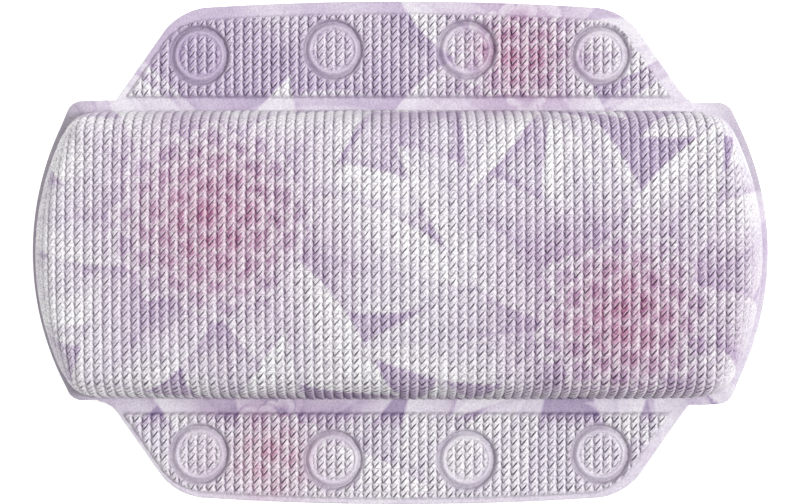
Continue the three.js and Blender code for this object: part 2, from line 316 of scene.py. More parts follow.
def printed_vinyl():
    """Foamed PVC front sheet: printed leaves, painted shade in the grooves and hollows, painted highlight on
    the ropes, grain on the pressed welds.
    """
    found = bpy.data.materials.get("printed_foamed_vinyl")
    if found:
        return found
    inks = settings().print
    material, tree, shader, coords = new_material("printed_foamed_vinyl", Specular_IOR_Level=0.42)
    mottle = map_range(tree, noise(tree, coords, 240.0, 4.0), 0.3, 0.7, -0.05, 0.05)
    fleck = map_range(tree, noise(tree, coords, 1700.0, 3.0), 0.3, 0.7, -0.09, 0.09)
    tone = math_node(tree, "ADD", attribute(tree, "tone"), math_node(tree, "ADD", mottle, fleck))
    lilac = ramp(tree, tone, [(0.0, inks.deep), (0.36, inks.middle), (0.68, inks.pale), (1.0, inks.white)])
    rose = ramp(tree, tone, [(0.0, inks.plum), (0.45, inks.pink), (1.0, inks.blush)])
    ink = mix_colours(tree, attribute(tree, "blush"), lilac, rose)
    dark, bright = rope_shades(tree)
    press = attribute(tree, "press")
    # Painted highlight: the rope lips and right flanks paled towards white
    highlighted = mix_colours(tree, product(tree, bright, 0.5), ink, opaque(inks.white))
    eased = mix_colours(tree, product(tree, press, 0.36), highlighted, opaque(inks.pale))
    # Painted shade of the ropes and hollows, multiplied into the ink
    shaded = mix_colours(tree, dark, eased, opaque(GROOVE_SHADE), "MULTIPLY")
    grain = noise(tree, coords, 1150.0, 3.0)
    grit = map_range(tree, grain, 0.36, 0.56, 1.0, 0.0)
    speck = map_range(tree, noise(tree, coords, 1300.0, 4.0), 0.4, 0.62, 0.4, 0.8)
    pressed = product(tree, press, speck)
    dust = product(tree, grit, map_range(tree, press, 0.0, 1.0, 0.7, 0.25))
    dusted = mix_colours(tree, dust, shaded, opaque(DUST_SHADE), "MULTIPLY")
    face = mix_colours(tree, pressed, dusted, opaque(PRESSED_SHADE), "MULTIPLY")
    tree.links.new(face, shader.inputs["Base Color"])
    tree.links.new(map_range(tree, grain, 0.3, 0.7, 0.4, 0.56), shader.inputs["Roughness"])
    pressed_grain = math_node(tree, "ADD", grain, product(tree, pebbles(tree, coords, 1500.0), press))
    add_bump(tree, shader, math_node(tree, "SUBTRACT", pressed_grain, dark), 0.6, 0.0003)
    return material


def rope_shades(tree):
    """Painted shade in the slits, grooves and creases of the ropes, and painted highlight on the lips and
    flanks beside them.
    """
    rope = settings().emboss
    sheet_s = attribute(tree, "sheet_s")
    sheet_t = attribute(tree, "sheet_t")
    across, along, past, chance = rope_cells(tree, sheet_s, sheet_t, rope.rope_pitch, rope.cell_height,
                                             rope.slit_start, rope.slit_end)
    other = math_node(tree, "FRACT", product(tree, chance, 7.3))
    relief = attribute(tree, "relief")
    opening = band(tree, across, 0.11, 0.22, 0.66, 0.84)
    strong = map_range(tree, chance, 0.0, 1.0, 0.42, 0.95)
    slit = product(tree, band(tree, past, 0.29, 0.35, 0.5, 0.56), opening, strong)
    beside = band(tree, along, 0.0, 0.06, 0.6, 0.9)
    deep = map_range(tree, other, 0.0, 1.0, 0.5, 0.95)
    edge = highest(tree, map_range(tree, across, 0.06, 0.15, 1.0, 0.0),
                   map_range(tree, across, 0.93, 0.98, 0.0, 1.0))
    soft = highest(tree, map_range(tree, across, 0.0, 0.34, 0.38, 0.0),
                   map_range(tree, across, 0.86, 1.0, 0.0, 0.38))
    groove = highest(tree, product(tree, edge, beside, deep), soft)
    fold = highest(tree, map_range(tree, along, 0.02, 0.08, 1.0, 0.0),
                   map_range(tree, along, 0.95, 1.0, 0.0, 1.0))
    crossing = band(tree, across, 0.1, 0.25, 0.8, 0.95)
    crease = product(tree, fold, crossing, map_range(tree, other, 0.0, 1.0, 0.1, 0.4))
    # Painted shade in the slits, grooves and creases, joined below with the painted shade held on the sheet
    lines = highest(tree, slit, groove, crease)
    dark = highest(tree, product(tree, lines, relief), attribute(tree, "dent"))
    # Painted highlight on the lip beside each slit and on each rope's right flank
    lip = product(tree, band(tree, past, 0.56, 0.6, 0.68, 0.84), opening)
    flank = product(tree, band(tree, across, 0.6, 0.78, 0.87, 0.94), 0.8)
    return dark, product(tree, highest(tree, lip, flank), relief)


def back_vinyl():
    """Plain white PVC back sheet with a fine calendered grain."""
    found = bpy.data.materials.get("plain_back_vinyl")
    if found:
        return found
    inks = settings().print
    material, tree, shader, coords = new_material("plain_back_vinyl", Specular_IOR_Level=0.45)
    cloud = map_range(tree, noise(tree, coords, 28.0, 3.0), 0.3, 0.7, 0.0, 1.0)
    tint = mix_colours(tree, cloud, opaque(inks.back), opaque(inks.back, 0.93))
    tree.links.new(tint, shader.inputs["Base Color"])
    grain = math_node(tree, "ADD", pebbles(tree, coords, 900.0), noise(tree, coords, 2400.0))
    tree.links.new(map_range(tree, grain, 0.4, 1.3, 0.36, 0.52), shader.inputs["Roughness"])
    add_bump(tree, shader, grain, 0.4, 0.00015)
    return material


def open_foam():
    """Open-cell foam."""
    inks = settings().print
    material, tree, shader, coords = new_material("open_cell_foam", Roughness=0.95, Specular_IOR_Level=0.2)
    cells = pebbles(tree, coords, 700.0, "F1")
    tint = ramp(tree, cells, [(0.0, tuple(0.6 * c for c in inks.foam)), (0.5, inks.foam)])
    tree.links.new(tint, shader.inputs["Base Color"])
    add_bump(tree, shader, cells, 0.7, 0.0005)
    return material


def clear_vinyl():
    """Clear soft PVC of the suction cups."""
    inks = settings().print
    values = {"Transmission_Weight": 0.6, "IOR": 1.45, "Alpha": 0.55}
    material, tree, shader, coords = new_material("clear_soft_vinyl", **values)
    haze = noise(tree, coords, 160.0, 3.0)
    tint = mix_colours(tree, haze, opaque(inks.cup), opaque(inks.cup, 0.9))
    tree.links.new(tint, shader.inputs["Base Color"])
    tree.links.new(map_range(tree, haze, 0.3, 0.7, 0.1, 0.24), shader.inputs["Roughness"])
    add_bump(tree, shader, noise(tree, coords, 900.0), 0.08, 0.0001)
    return material


# Sheet meshes

def trimmed_cells(inside):
    """Cells of a grid that touch its inside, and which of its points they use."""
    kept = inside[:-1, :-1] | inside[:-1, 1:] | inside[1:, :-1] | inside[1:, 1:]
    used = np.zeros(inside.shape, bool)
    for rows in (slice(None, -1), slice(1, None)):
        for columns in (slice(None, -1), slice(1, None)):
            used[rows, columns] |= kept
    index = np.full(inside.shape, -1)
    index[used] = np.arange(np.count_nonzero(used))
    row, column = np.nonzero(kept)
    corners = ((0, 0), (0, 1), (1, 1), (1, 0))
    return used, np.stack([index[row + down, column + right] for down, right in corners], axis=1)


def rim_loop(cells):
    """The points round a grid's edge, anticlockwise."""
    start = cells.ravel()
    end = np.roll(cells, -1, axis=1).ravel()
    size = int(cells.max()) + 1
    lone = ~np.isin(start * size + end, end * size + start)
    follow = dict(zip(start[lone].tolist(), end[lone].tolist()))
    loop = [next(iter(follow))]
    while follow[loop[-1]] != loop[0]:
        loop.append(follow[loop[-1]])
    return np.array(loop)


def settle_rim(cells, x, y, middle_y):
    """Joins edge points that double back on the way round to the ones before them."""
    loop = rim_loop(cells)
    turn = np.unwrap(np.arctan2(y[loop] - middle_y, x[loop]))
    leading = (turn >= np.maximum.accumulate(turn)) & (turn < turn[0] + 2 * np.pi)
    holder = loop[np.maximum.accumulate(np.where(leading, np.arange(len(loop)), 0))]
    x[loop] = x[holder]
    y[loop] = y[holder]


class Shell:
    """Points, faces and point values of one closed sheet piece."""

    def __init__(self, points, cells, **values):
        self.points = [points]
        self.size = len(points)
        self.faces = cells.tolist()
        self.values = {name: [array] for name, array in values.items()}

    def add(self, points, **values):
        """Adds points and gives their numbers."""
        numbers = np.arange(self.size, self.size + len(points))
        self.points.append(points)
        self.size += len(points)
        for name, arrays in self.values.items():
            arrays.append(np.broadcast_to(values.get(name, 0.0), len(points)))
        return numbers

    def bridge(self, inner, outer):
        """Band of faces from an inner loop to the next one out."""
        after_inner = np.roll(inner, -1)
        after_outer = np.roll(outer, -1)
        self.faces += np.stack([outer, after_outer, after_inner, inner], axis=1).tolist()

    def skirt(self, loop, level, **values):
        """Wall from a loop of the sheet straight down to a level, and the loop at its foot."""
        below = self.points[0][loop].copy()
        below[:, 2] = level
        lower = self.add(below, **values)
        self.bridge(loop, lower)
        return lower

    def close_under(self, loop, inner_points, level):
        """Underside within a loop, with some points of its own inside it."""
        rim = np.concatenate(self.points)[loop][:, :2]
        extra = self.add(np.column_stack([inner_points, np.broadcast_to(level, len(inner_points))]))
        flat = [Vector(point) for point in np.concatenate([rim, inner_points]).tolist()]
        result = delaunay_2d_cdt(flat, [], [list(range(len(rim)))], 1, MERGE_DISTANCE)
        numbers = np.concatenate([loop, extra])
        back = [int(numbers[origin[0]]) for origin in result[3]]
        self.faces += [[back[i] for i in reversed(face)] for face in result[2]]

    def build(self, name, turn_out=False):
        """The object, with doubles merged."""
        mesh = bpy.data.meshes.new(name)
        mesh.from_pydata(np.concatenate(self.points).tolist(), [], self.faces)
        for key, arrays in self.values.items():
            layer = mesh.attributes.new(key, "FLOAT", "POINT")
            layer.data.foreach_set("value", np.concatenate(arrays).astype(np.float32))
        clean_mesh(mesh, MERGE_DISTANCE, turn_out)
        return link_piece(name, mesh)


def clean_mesh(mesh, merge, turn_out):
    """Merges doubles, drops faces of no size and, where asked, turns the faces outwards."""
    work = bmesh.new()
    work.from_mesh(mesh)
    bmesh.ops.remove_doubles(work, verts=work.verts, dist=merge)
    bmesh.ops.dissolve_degenerate(work, edges=work.edges, dist=merge)
    if turn_out:
        bmesh.ops.recalc_face_normals(work, faces=work.faces)
    work.to_mesh(mesh)
    work.free()


def link_piece(name, mesh):
    piece = bpy.data.objects.new(name, mesh)
    bpy.context.scene.collection.objects.link(piece)
    return piece


def finish_shading(piece, angle):
    """Smooth shading, with sharp edges where the sheet is cut."""
    piece.data.polygons.foreach_set("use_smooth", np.ones(len(piece.data.polygons), bool))
    piece.data.set_sharp_from_angle(angle=angle)


# Geometry Nodes

def new_tree(name, sockets):
    """Geometry tree with named inputs."""
    tree = bpy.data.node_groups.new(name, "GeometryNodeTree")
    tree.interface.new_socket("Geometry", in_out="INPUT", socket_type="NodeSocketGeometry")
    for title, kind in sockets:
        tree.interface.new_socket(title, in_out="INPUT", socket_type="NodeSocket" + kind)
    tree.interface.new_socket("Geometry", in_out="OUTPUT", socket_type="NodeSocketGeometry")
    tree.is_modifier = True
    return tree, tree.nodes.new("NodeGroupInput").outputs


def end_tree(tree, geometry, material):
    """Realize, set the material and leave the tree."""
    real = add_node(tree, "GeometryNodeRealizeInstances", {"Geometry": geometry})
    dressed = add_node(tree, "GeometryNodeSetMaterial", {"Geometry": real.outputs[0], "Material": material})
    add_node(tree, "NodeGroupOutput", {0: dressed.outputs[0]})


def apply_tree(piece, tree, values):
    """Runs a tree on a piece and keeps the result as a plain mesh."""
    modifier = piece.modifiers.new(tree.name, "NODES")
    modifier.node_group = tree
    for item in tree.interface.items_tree:
        if item.in_out == "INPUT" and item.name in values:
            modifier[item.identifier] = values[item.name]
    graph = bpy.context.evaluated_depsgraph_get()
    shaped = piece.evaluated_get(graph)
    made = bpy.data.meshes.new_from_object(shaped, preserve_all_data_layers=True, depsgraph=graph)
    old = piece.data
    piece.modifiers.clear()
    piece.data = made
    bpy.data.meshes.remove(old)
    made.name = piece.name


def named_value(tree, name):
    made = add_node(tree, "GeometryNodeInputNamedAttribute", {"Name": name}, data_type="FLOAT")
    return made.outputs["Attribute"]


# Highest place across a rope, as a share of the pitch
ROPE_CREST = 0.6
# Mesh columns across a rope and rows along a twist, on the cushion and on the flaps
CUSHION_MESH = (
    (0.0, 0.06, 0.15, 0.3, 0.48, 0.66, 0.8, 0.92),
    (0.0, 0.06, 0.22, 0.5, 0.84, 0.93),
)
FLAP_MESH = (
    (0.0, 0.06, 0.15, 0.27, 0.39, 0.51, 0.63, 0.75, 0.84, 0.92),
    (0.0, 0.06, 0.2, 0.36, 0.52, 0.68, 0.84, 0.93),
)
# Sizes that the ropes' tree takes, each called as it is in the settings
ROPE_SIZES = ("Rope Pitch", "Cell Height", "Depth", "Slit", "Slit Start", "Slit End")


def rope_emboss_tree():
    """Tree that raises twisted ropes along the sheet's own directions."""
    found = bpy.data.node_groups.get("RopeEmboss")
    if found:
        return found
    sockets = [*((title, "Float") for title in ROPE_SIZES), ("Material", "Material")]
    tree, given = new_tree("RopeEmboss", sockets)
    sheet_s = named_value(tree, "sheet_s")
    sheet_t = named_value(tree, "sheet_t")
    across, _, past, chance = rope_cells(tree, sheet_s, sheet_t, given["Rope Pitch"], given["Cell Height"],
                                         given["Slit Start"], given["Slit End"])
    twist = math_node(tree, "FRACT", math_node(tree, "ADD", past, 0.5))
    left = math_node(tree, "POWER", map_range(tree, across, 0.0, ROPE_CREST, 1.0, 0.0), 2.6)
    right = math_node(tree, "POWER", map_range(tree, across, ROPE_CREST, 1.0, 0.0, 1.0), 2.2)
    low = math_node(tree, "ADD", left, right)
    rope = math_node(tree, "SUBTRACT", 1.0, low)
    facet = map_range(tree, twist, 0.0, 0.22, 1.0, 0.0)
    wall = map_range(tree, twist, 0.9, 1.0, 0.0, 1.0)
    opening = band(tree, across, 0.0, 0.14, 0.58, 0.8)
    depth = map_range(tree, chance, 0.0, 1.0, 0.7, 1.25)
    carved = product(tree, highest(tree, facet, wall), opening, given["Slit"], depth)
    filled = product(tree, band(tree, twist, 0.6, 0.84, 0.93, 1.0), low, 0.3)
    height = math_node(tree, "SUBTRACT", math_node(tree, "ADD", rope, filled), carved)
    lift = product(tree, height, named_value(tree, "relief"), given["Depth"])
    normal = add_node(tree, "GeometryNodeInputNormal").outputs["Normal"]
    offset = add_node(tree, "ShaderNodeVectorMath", {0: normal, "Scale": lift}, operation="SCALE")
    moves = {"Geometry": given["Geometry"], "Offset": offset.outputs[0]}
    raised = add_node(tree, "GeometryNodeSetPosition", moves)
    end_tree(tree, raised.outputs[0], given["Material"])
    return tree


def emboss(piece):
    """Presses the ropes into a piece of front sheet."""
    rope = settings().emboss
    values = {title: getattr(rope, title.lower().replace(" ", "_")) for title in ROPE_SIZES}
    values["Material"] = printed_vinyl()
    apply_tree(piece, rope_emboss_tree(), values)
    finish_shading(piece, math.radians(60))


def waver(s, t):
    """Sideways shift of the grooves, out at the foot of each twist and back along it."""
    rope = settings().emboss
    across = np.mod(s / rope.rope_pitch, 1.0)
    along = np.mod(t / rope.cell_height, 1.0)
    swing = np.interp(along, (0.0, 0.14, 0.5, 0.86, 1.0), (0.1, 0.6, 0.1, -0.4, 0.1))
    return rope.waver * swing * (2 * across - 1) ** 2


def rope_grid(reach_s, low_t, high_t, columns, rows):
    """Sheet points in rows that climb with the twists, closest together at grooves and slits."""
    rope = settings().emboss
    ropes = math.ceil(reach_s / rope.rope_pitch)
    number = np.repeat(np.arange(-ropes, ropes), len(columns))
    across = np.tile(columns, 2 * ropes)
    climb = number + np.interp(across, (rope.slit_start, rope.slit_end), (0.0, 1.0))
    first = math.floor(low_t / rope.cell_height) - ropes - 1
    last = math.ceil(high_t / rope.cell_height) + ropes + 1
    twist = np.repeat(np.arange(first, last), len(rows)) + np.tile(rows, last - first)
    t = (twist[:, None] + climb[None, :]) * rope.cell_height
    s = np.broadcast_to((number + across) * rope.rope_pitch, t.shape)
    return s, t


# Print

# Turn from one floret of a head to the next, in radians, and a floret's usual radius
FLORET_TURN = 2.39996
FLORET_RADIUS = 0.0098
# Distance from one side vein of a leaf to the next, and width of a leaf's soft edge
VEIN_PITCH = 0.0105
LEAF_EDGE = 0.0016
# Width of a leaf as a share of its length, in the sprays and round the heads
SPRAY_WIDTH = 0.36
COLLAR_WIDTH = 0.38


class PrintedSheet:
    """Ink on the flat sheet: tone from deep lilac to white, and the share of pink."""

    def __init__(self, s, t):
        self.s = s
        self.t = t
        self.tone = 0.42 + 0.12 * swell(0.5 * s, 0.5 * t) + 0.12 * swell(2 * t, 2 * s)
        self.rose = np.zeros(len(s))

    def near(self, place, reach):
        """Points within reach of a place, and where they are from it."""
        ds = self.s - place[0]
        dt = self.t - place[1]
        where = np.nonzero(ds * ds + dt * dt < reach * reach)[0]
        return where, ds[where], dt[where]

    def lay(self, where, mask, tone, rose):
        """Lays ink over what is there."""
        self.tone[where] += mask * (tone - self.tone[where])
        self.rose[where] += mask * (rose - self.rose[where])

    def leaf(self, root, heading, length, width, bend, base, tip, rose=0.0):
        """One pointed leaf: two halves, a midrib and curved side veins."""
        where, ds, dt = self.near(root, 1.1 * length)
        cos = math.cos(heading)
        sin = math.sin(heading)
        along = (ds * cos + dt * sin) / length
        side = dt * cos - ds * sin - bend * length * along * (along - 0.4)
        inside = np.clip(along, 0.0, 1.0)
        half = 0.5 * width * np.sin(np.pi * inside ** 0.8) ** 0.9 + 1e-9
        across = side / half
        edge = np.abs(across)
        soft = np.clip(LEAF_EDGE / half, 0.02, 1.0)
        within = (along > 0.0) & (along < 1.0)
        mask = smooth(0.0, 1.0, (1.0 - edge) / soft) * within
        halo = 1.0 - smooth(0.9, 1.0 + 0.006 / np.maximum(half, 0.004), edge)
        self.lay(where, 0.34 * halo * within, 0.14, 0.2 * rose)
        vein_place = along * length / VEIN_PITCH - 0.85 * edge
        vein = np.exp(-((vein_place - np.round(vein_place)) / 0.11) ** 2)
        tone = base + (tip - base) * smooth(-0.05, 0.95, along + 0.18 * edge)
        tone += 0.07 * np.tanh(5 * across) + 0.05 * vein * (1 - edge) * (1 - 0.5 * along)
        tone += 0.13 * np.exp(-(side / 0.0008) ** 2) - 0.07 * np.exp(-((side + 0.0016) / 0.0014) ** 2)
        tone += 0.1 * smooth(0.8, 1.0, edge) - 0.06 * (1 - smooth(0.0, 0.7, edge))
        self.lay(where, mask, tone, rose * (1.0 - smooth(0.05, 0.75, along)))

    def floret(self, centre, radius, turn, heart, rose):
        """One floret of four round petals."""
        where, ds, dt = self.near(centre, radius)
        away = np.hypot(ds, dt) / radius
        lobe = np.abs(np.cos(2 * (np.arctan2(dt, ds) - turn)))
        share = away / (0.58 + 0.4 * lobe ** 0.55)
        mask = 1.0 - smooth(0.9, 1.0, share)
        self.lay(where, 0.4 * (1.0 - smooth(0.95, 1.15, share)), 0.1, rose)
        tone = heart + (0.82 - 0.16 * rose - heart) * smooth(0.05, 0.85, share)
        tone -= 0.1 * (1 - lobe) * (share < 0.95)
        tone -= 0.12 * smooth(0.86, 1.0, share) + 0.07 * np.exp(-((1 - lobe) / 0.02) ** 2)
        eye = 0.5 * (1.0 - smooth(0.1, 0.18, away))
        tint = rose * (1.0 - 0.45 * smooth(0.15, 0.9, share))
        self.lay(where, mask, tone + eye * (0.8 - tone), tint)

    def cluster(self, centre, radius, florets, random):
        """Round head of florets, drawn from its rim to its middle."""
        turn = random.uniform(0, 6)
        for k in reversed(range(florets)):
            share = math.sqrt((k + 0.5) / florets)
            angle = turn + FLORET_TURN * k
            out = radius * share
            place = (centre[0] + out * math.cos(angle), centre[1] + out * math.sin(angle))
            size = FLORET_RADIUS * random.uniform(0.85, 1.12)
            heart = random.uniform(0.0, 0.22) + 0.18 * share
            self.floret(place, size, random.uniform(0, 3), heart, 1.0 - 0.85 * share ** 1.4)


# Round heads: s, t, radius, florets
HEADS = (
    (-0.078, 0.014, 0.037, 46),
    (0.094, -0.026, 0.032, 34),
    (0.052, 0.114, 0.020, 14),
    (-0.056, -0.118, 0.020, 14),
)
# Leaves round a head: number, length and first heading in degrees
COLLARS = ((11, 0.112, 12), (9, 0.108, 30), (7, 0.080, 5), (7, 0.080, 40))
# Leaf sprays behind: root s, root t, first and last heading in degrees, number, length
SPRAYS = (
    (-0.200, -0.120, 0, 78, 5, 0.125),
    (0.200, 0.110, 182, 258, 5, 0.125),
    (-0.195, 0.120, -66, 12, 4, 0.120),
    (0.195, -0.130, 100, 178, 4, 0.120),
    (0.010, -0.190, 20, 160, 6, 0.130),
    (0.015, 0.080, 185, 355, 6, 0.115),
    (-0.150, 0.150, 215, 330, 4, 0.090),
    (0.150, -0.150, 35, 150, 4, 0.090),
    (0.190, 0.000, 120, 240, 5, 0.100),
    (-0.190, 0.000, -60, 60, 5, 0.090),
)
# An even wash of ink at the right end, painted light at the left end, and paler ink on the lower flap that is
# partly painted light:
# direction along s and t, where each starts and is full, its strength and its tone
WASHES_AND_PAINTED_LIGHT = (
    (1, 0, 0.145, 0.18, 0.5, 0.6),
    (-1, 0, 0.14, 0.175, 0.7, 0.95),
    (0, -1, 0.1, 0.106, 0.54, 0.85),
)


def print_sheet(s, t):
    """Tone and pink share at points of the flat sheet."""
    random = np.random.default_rng(SHEET_SEED)
    sheet = PrintedSheet(s, t)
    for root_s, root_t, first, last, count, length in SPRAYS:
        for k in range(count):
            share = (k * 2) % count / (count - 1)
            heading = math.radians(first + (last - first) * share + random.uniform(-7, 7))
            reach = length * random.uniform(0.85, 1.15)
            sheet.leaf((root_s, root_t), heading, reach, reach * SPRAY_WIDTH, random.uniform(-0.3, 0.3),
                       random.uniform(0.15, 0.4), random.uniform(0.72, 1.0))
    for (head_s, head_t, *_), (count, length, first) in zip(HEADS, COLLARS):
        for k in range(count):
            turn = math.radians(first + 360 * (k * 2 % count) / count)
            reach = length * random.uniform(0.85, 1.15)
            sheet.leaf((head_s, head_t), turn + random.uniform(-0.1, 0.1), reach, reach * COLLAR_WIDTH,
                       random.uniform(-0.25, 0.25), random.uniform(0.1, 0.35), random.uniform(0.82, 1.05),
                       rose=0.2)
    for head_s, head_t, radius, florets in HEADS:
        sheet.cluster((head_s, head_t), radius, florets, random)
    tone = sheet.tone
    # Even wash at the right end; painted light at the left end and, partly, on the lower flap
    for along_s, along_t, start, full, strength, target_tone in WASHES_AND_PAINTED_LIGHT:
        tone = tone + strength * smooth(start, full, along_s * s + along_t * t) * (target_tone - tone)
    foot = smooth(0.07, 0.09, -t) * (1.0 - smooth(0.098, 0.101, -t))
    tone -= 0.45 * foot * np.clip(1.0 - tone, 0.0, 0.6)
    return np.clip(tone, 0.0, 1.0), np.clip(sheet.rose, 0.0, 1.0)


# Cushion

class CushionForm:
    """How the flat front sheet is drawn over the foam: a flat top, curved walls and a foot all round."""
    # How far the filled part lies below the middle, and how full the curves of its walls are
    SAG = 0.001
    SIDE_FULLNESS = 2.6
    END_FULLNESS = 2.3
    # Unevenness of the top, narrowing of the filled part at its ends, and hang of the left flange
    UNEVEN = 0.0004
    NARROWING = 0.022
    HANG = 0.0014
    # How far the flange's corners are cut back, and how far that reaches
    CORNER_CUT = 0.0011
    CORNER_REACH = 0.0022
    # Extra width of the flange's long edges: everywhere, on the right, and at the upper right and lower left
    TRIM = 0.0004
    TRIM_RIGHT = 0.0003
    TRIM_CORNERS = -0.0008
    # Where the flange ends under a flap's sides, and how far it shows past the foot there
    TUCK_END = (0.121, 0.124)
    TUCK_FLANGE = 0.0002

    def __init__(self, inset=0.0, give=0.0):
        size = settings().cushion
        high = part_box("cushion_front_cover")[1]
        self.half_width = high.x
        self.half_height = high.y
        self.level = size.weld_top
        self.top = high.z - settings().emboss.depth - inset - give
        self.crown = size.crown - give
        self.give = give
        bow = high.x - size.shoulder
        arc = (high.y ** 2 + bow ** 2) / (2 * bow)
        self.edge = size.corner + size.flange
        self.arc_x = high.x - arc
        self.core_arc = arc - self.edge
        self.core_y = high.y - self.edge
        self.core_x = self.arc_x + math.sqrt(self.core_arc ** 2 - self.core_y ** 2)
        self.core_turn = math.asin(self.core_y / self.core_arc)
        self.foot = size.corner - inset
        self.end_foot = self.foot - size.end_flange + size.flange
        self.flat = size.corner - size.wall_run
        self.side_wall = self.trace_wall(self.foot - self.flat, self.SIDE_FULLNESS)
        self.end_wall = self.trace_wall(self.end_foot, self.END_FULLNESS)
        self.reach = self.flat + self.side_wall[0][-1]

    def trace_wall(self, run, fullness):
        """Wall curve: length down from the top, distance out and share of the height."""
        turn = np.linspace(0.0, np.pi / 2, 400)
        out = run * np.sin(turn) ** (2 / fullness)
        up = np.cos(turn) ** (2 / fullness)
        rise = self.top - 0.55 * self.crown - self.level
        steps = np.hypot(np.diff(out), rise * np.diff(up))
        return np.concatenate([[0.0], np.cumsum(steps)]), out, up

    def limits(self, out_x):
        """How far a wall is an end wall, and its flat start, reach of sheet and foot, by direction."""
        end = smooth(0.0, 0.8, out_x ** 2)
        flat = self.flat * (1 - end)
        reach = flat + self.side_wall[0][-1] * (1 - end) + self.end_wall[0][-1] * end
        return end, flat, reach, self.foot * (1 - end) + self.end_foot * end

    def offset(self, s, t):
        """Nearest core point, direction out of it and distance, for points of the sheet."""
        a = np.abs(s)
        b = np.abs(t)
        turn = np.arctan2(b, a - self.arc_x)
        away = np.hypot(a - self.arc_x, b)
        beside = (a <= self.core_x) & (b > self.core_y)
        at_end = (a > self.arc_x) & (turn <= self.core_turn) & (away > self.core_arc)
        at_corner = (a > self.core_x) & (turn > self.core_turn)
        gap_x = a - self.core_x
        gap_y = b - self.core_y
        gap = np.maximum(np.hypot(gap_x, gap_y), 1e-9)
        cases = [beside, at_end, at_corner]
        point_x = np.select(cases, [a, self.arc_x + self.core_arc * np.cos(turn), self.core_x], a)
        point_y = np.select(cases, [self.core_y, self.core_arc * np.sin(turn), self.core_y], b)
        out_x = np.select(cases, [0.0, np.cos(turn), gap_x / gap], 0.0)
        out_y = np.select(cases, [1.0, np.sin(turn), gap_y / gap], 0.0)
        distance = np.select(cases, [gap_y, away - self.core_arc, gap], 0.0)
        sign_x = np.where(s < 0, -1.0, 1.0)
        sign_y = np.where(t < 0, -1.0, 1.0)
        return point_x * sign_x, point_y * sign_y, out_x * sign_x, out_y * sign_y, distance, at_corner

    def crest(self, x, y):
        """Height of the crowned top."""
        share = (1 - (y / self.half_height) ** 2) * (1 - (np.abs(x) / self.half_width) ** 4)
        return self.top - self.crown * (1 - share) + self.UNEVEN * swell(x, y)

    def settle(self, x, y):
        """Sideways lie of the filled part: a little low, and drawn in towards the corners."""
        return y * (1.0 - self.NARROWING * (x / self.half_width) ** 2) - self.SAG

    def droop(self, out_x, far):
        """How far the left flange hangs back, by direction and distance."""
        hang = self.HANG * np.maximum(-out_x, 0.0) ** 2
        return hang * np.clip((far - self.end_foot) / (self.edge - self.end_foot), 0.0, 1.2) ** 1.5

    def draw(self, s, t):
        """Place of sheet points on the formed cushion."""
        point_x, point_y, out_x, out_y, distance, corner = self.offset(s, t)
        end, flat, reach, _ = self.limits(out_x)
        down = np.clip((distance - flat) / (reach - flat), 0.0, 1.0)
        outs = []
        ups = []
        for length, out, up in (self.side_wall, self.end_wall):
            outs.append(np.interp(down, length / length[-1], out))
            ups.append(np.interp(down, length / length[-1], up))
        plan = np.where(distance <= flat, distance, flat + outs[0] * (1 - end) + outs[1] * end)
        up = ups[0] * (1 - end) + ups[1] * end
        x = point_x + out_x * plan
        y = point_y + out_y * plan
        z = self.level + up * (self.crest(x, y) - self.level)
        squeeze = np.where(corner, plan / np.maximum(distance, OUTLINE_TOLERANCE), 1.0)
        return np.column_stack([x, self.settle(x, y), z]), up, squeeze, end

    def rim(self, s, t):
        """Edge of the weld flange: core point, direction and distance, for points of the foot."""
        point_x, point_y, out_x, out_y, _, corner = self.offset(s, t)
        lean = np.arctan2(np.abs(out_y), np.abs(out_x))
        to_side = self.edge / np.maximum(np.sin(lean), 1e-3)
        to_end = self.edge / np.maximum(np.cos(lean - self.core_turn), 1e-3)
        cut = self.CORNER_CUT * np.exp(-((to_side - to_end) / self.CORNER_REACH) ** 2)
        nearer = np.minimum(to_side, to_end) - cut
        right = np.sign(point_x)
        trim = self.TRIM + self.TRIM_RIGHT * right + self.TRIM_CORNERS * right * np.sign(point_y)
        wide = np.where(corner, nearer, self.edge) + trim * np.abs(out_y) ** 3
        beside = (np.abs(out_x) < OUTLINE_TOLERANCE) & ~corner
        tucked = np.where(beside, 1.0 - smooth(*self.TUCK_END, np.abs(point_x)), 0.0)
        reach = wide + tucked * (self.foot + self.TUCK_FLANGE - wide)
        return point_x, point_y, out_x, out_y, reach, tucked

    def fill_points(self, step=0.012, margin=0.004):
        """Plan points well inside the foot, for the underside."""
        x, y = np.meshgrid(np.arange(-self.half_width, self.half_width, step),
                           np.arange(-self.half_height, self.half_height, step))
        x = x.ravel()
        y = y.ravel()
        keep = self.offset(x, y)[4] < self.foot - margin
        return np.column_stack([x[keep], y[keep]])


# Weld flange from foot to edge: share of the width, inset of the rounded edge, drop below the weld level
RIM_STEPS = (
    (0.33, 0.0004, 0.0),
    (0.67, 0.0004, 0.0),
    (1.0, 0.0004, 0.0),
    (1.0, 0.0, 0.0003),
    (1.0, 0.0, 0.0009),
)
# Gap left between the sheets' faces at the seam
SEAM_GAP = 0.0001


def lattice(step, limit):
    """Evenly spaced places through zero, out past a limit on both sides."""
    count = math.ceil(limit / step) + 1
    return step * np.arange(-count, count + 1)


def trim_to_foot(form, s, t, flat=False):
    """Points and cells of a sheet grid that reach inside the foot, with those past it pulled back to it."""
    point_x, point_y, out_x, out_y, distance, _ = form.offset(s, t)
    reach = np.full(s.shape, form.foot) if flat else form.limits(out_x)[2]
    used, cells = trimmed_cells(distance < reach - SHEET_TOLERANCE)
    short = np.minimum(distance, reach)
    s = (point_x + out_x * short)[used]
    t = (point_y + out_y * short)[used]
    if not flat:
        settle_rim(cells, s, t, 0.0)
    return s, t, cells, used


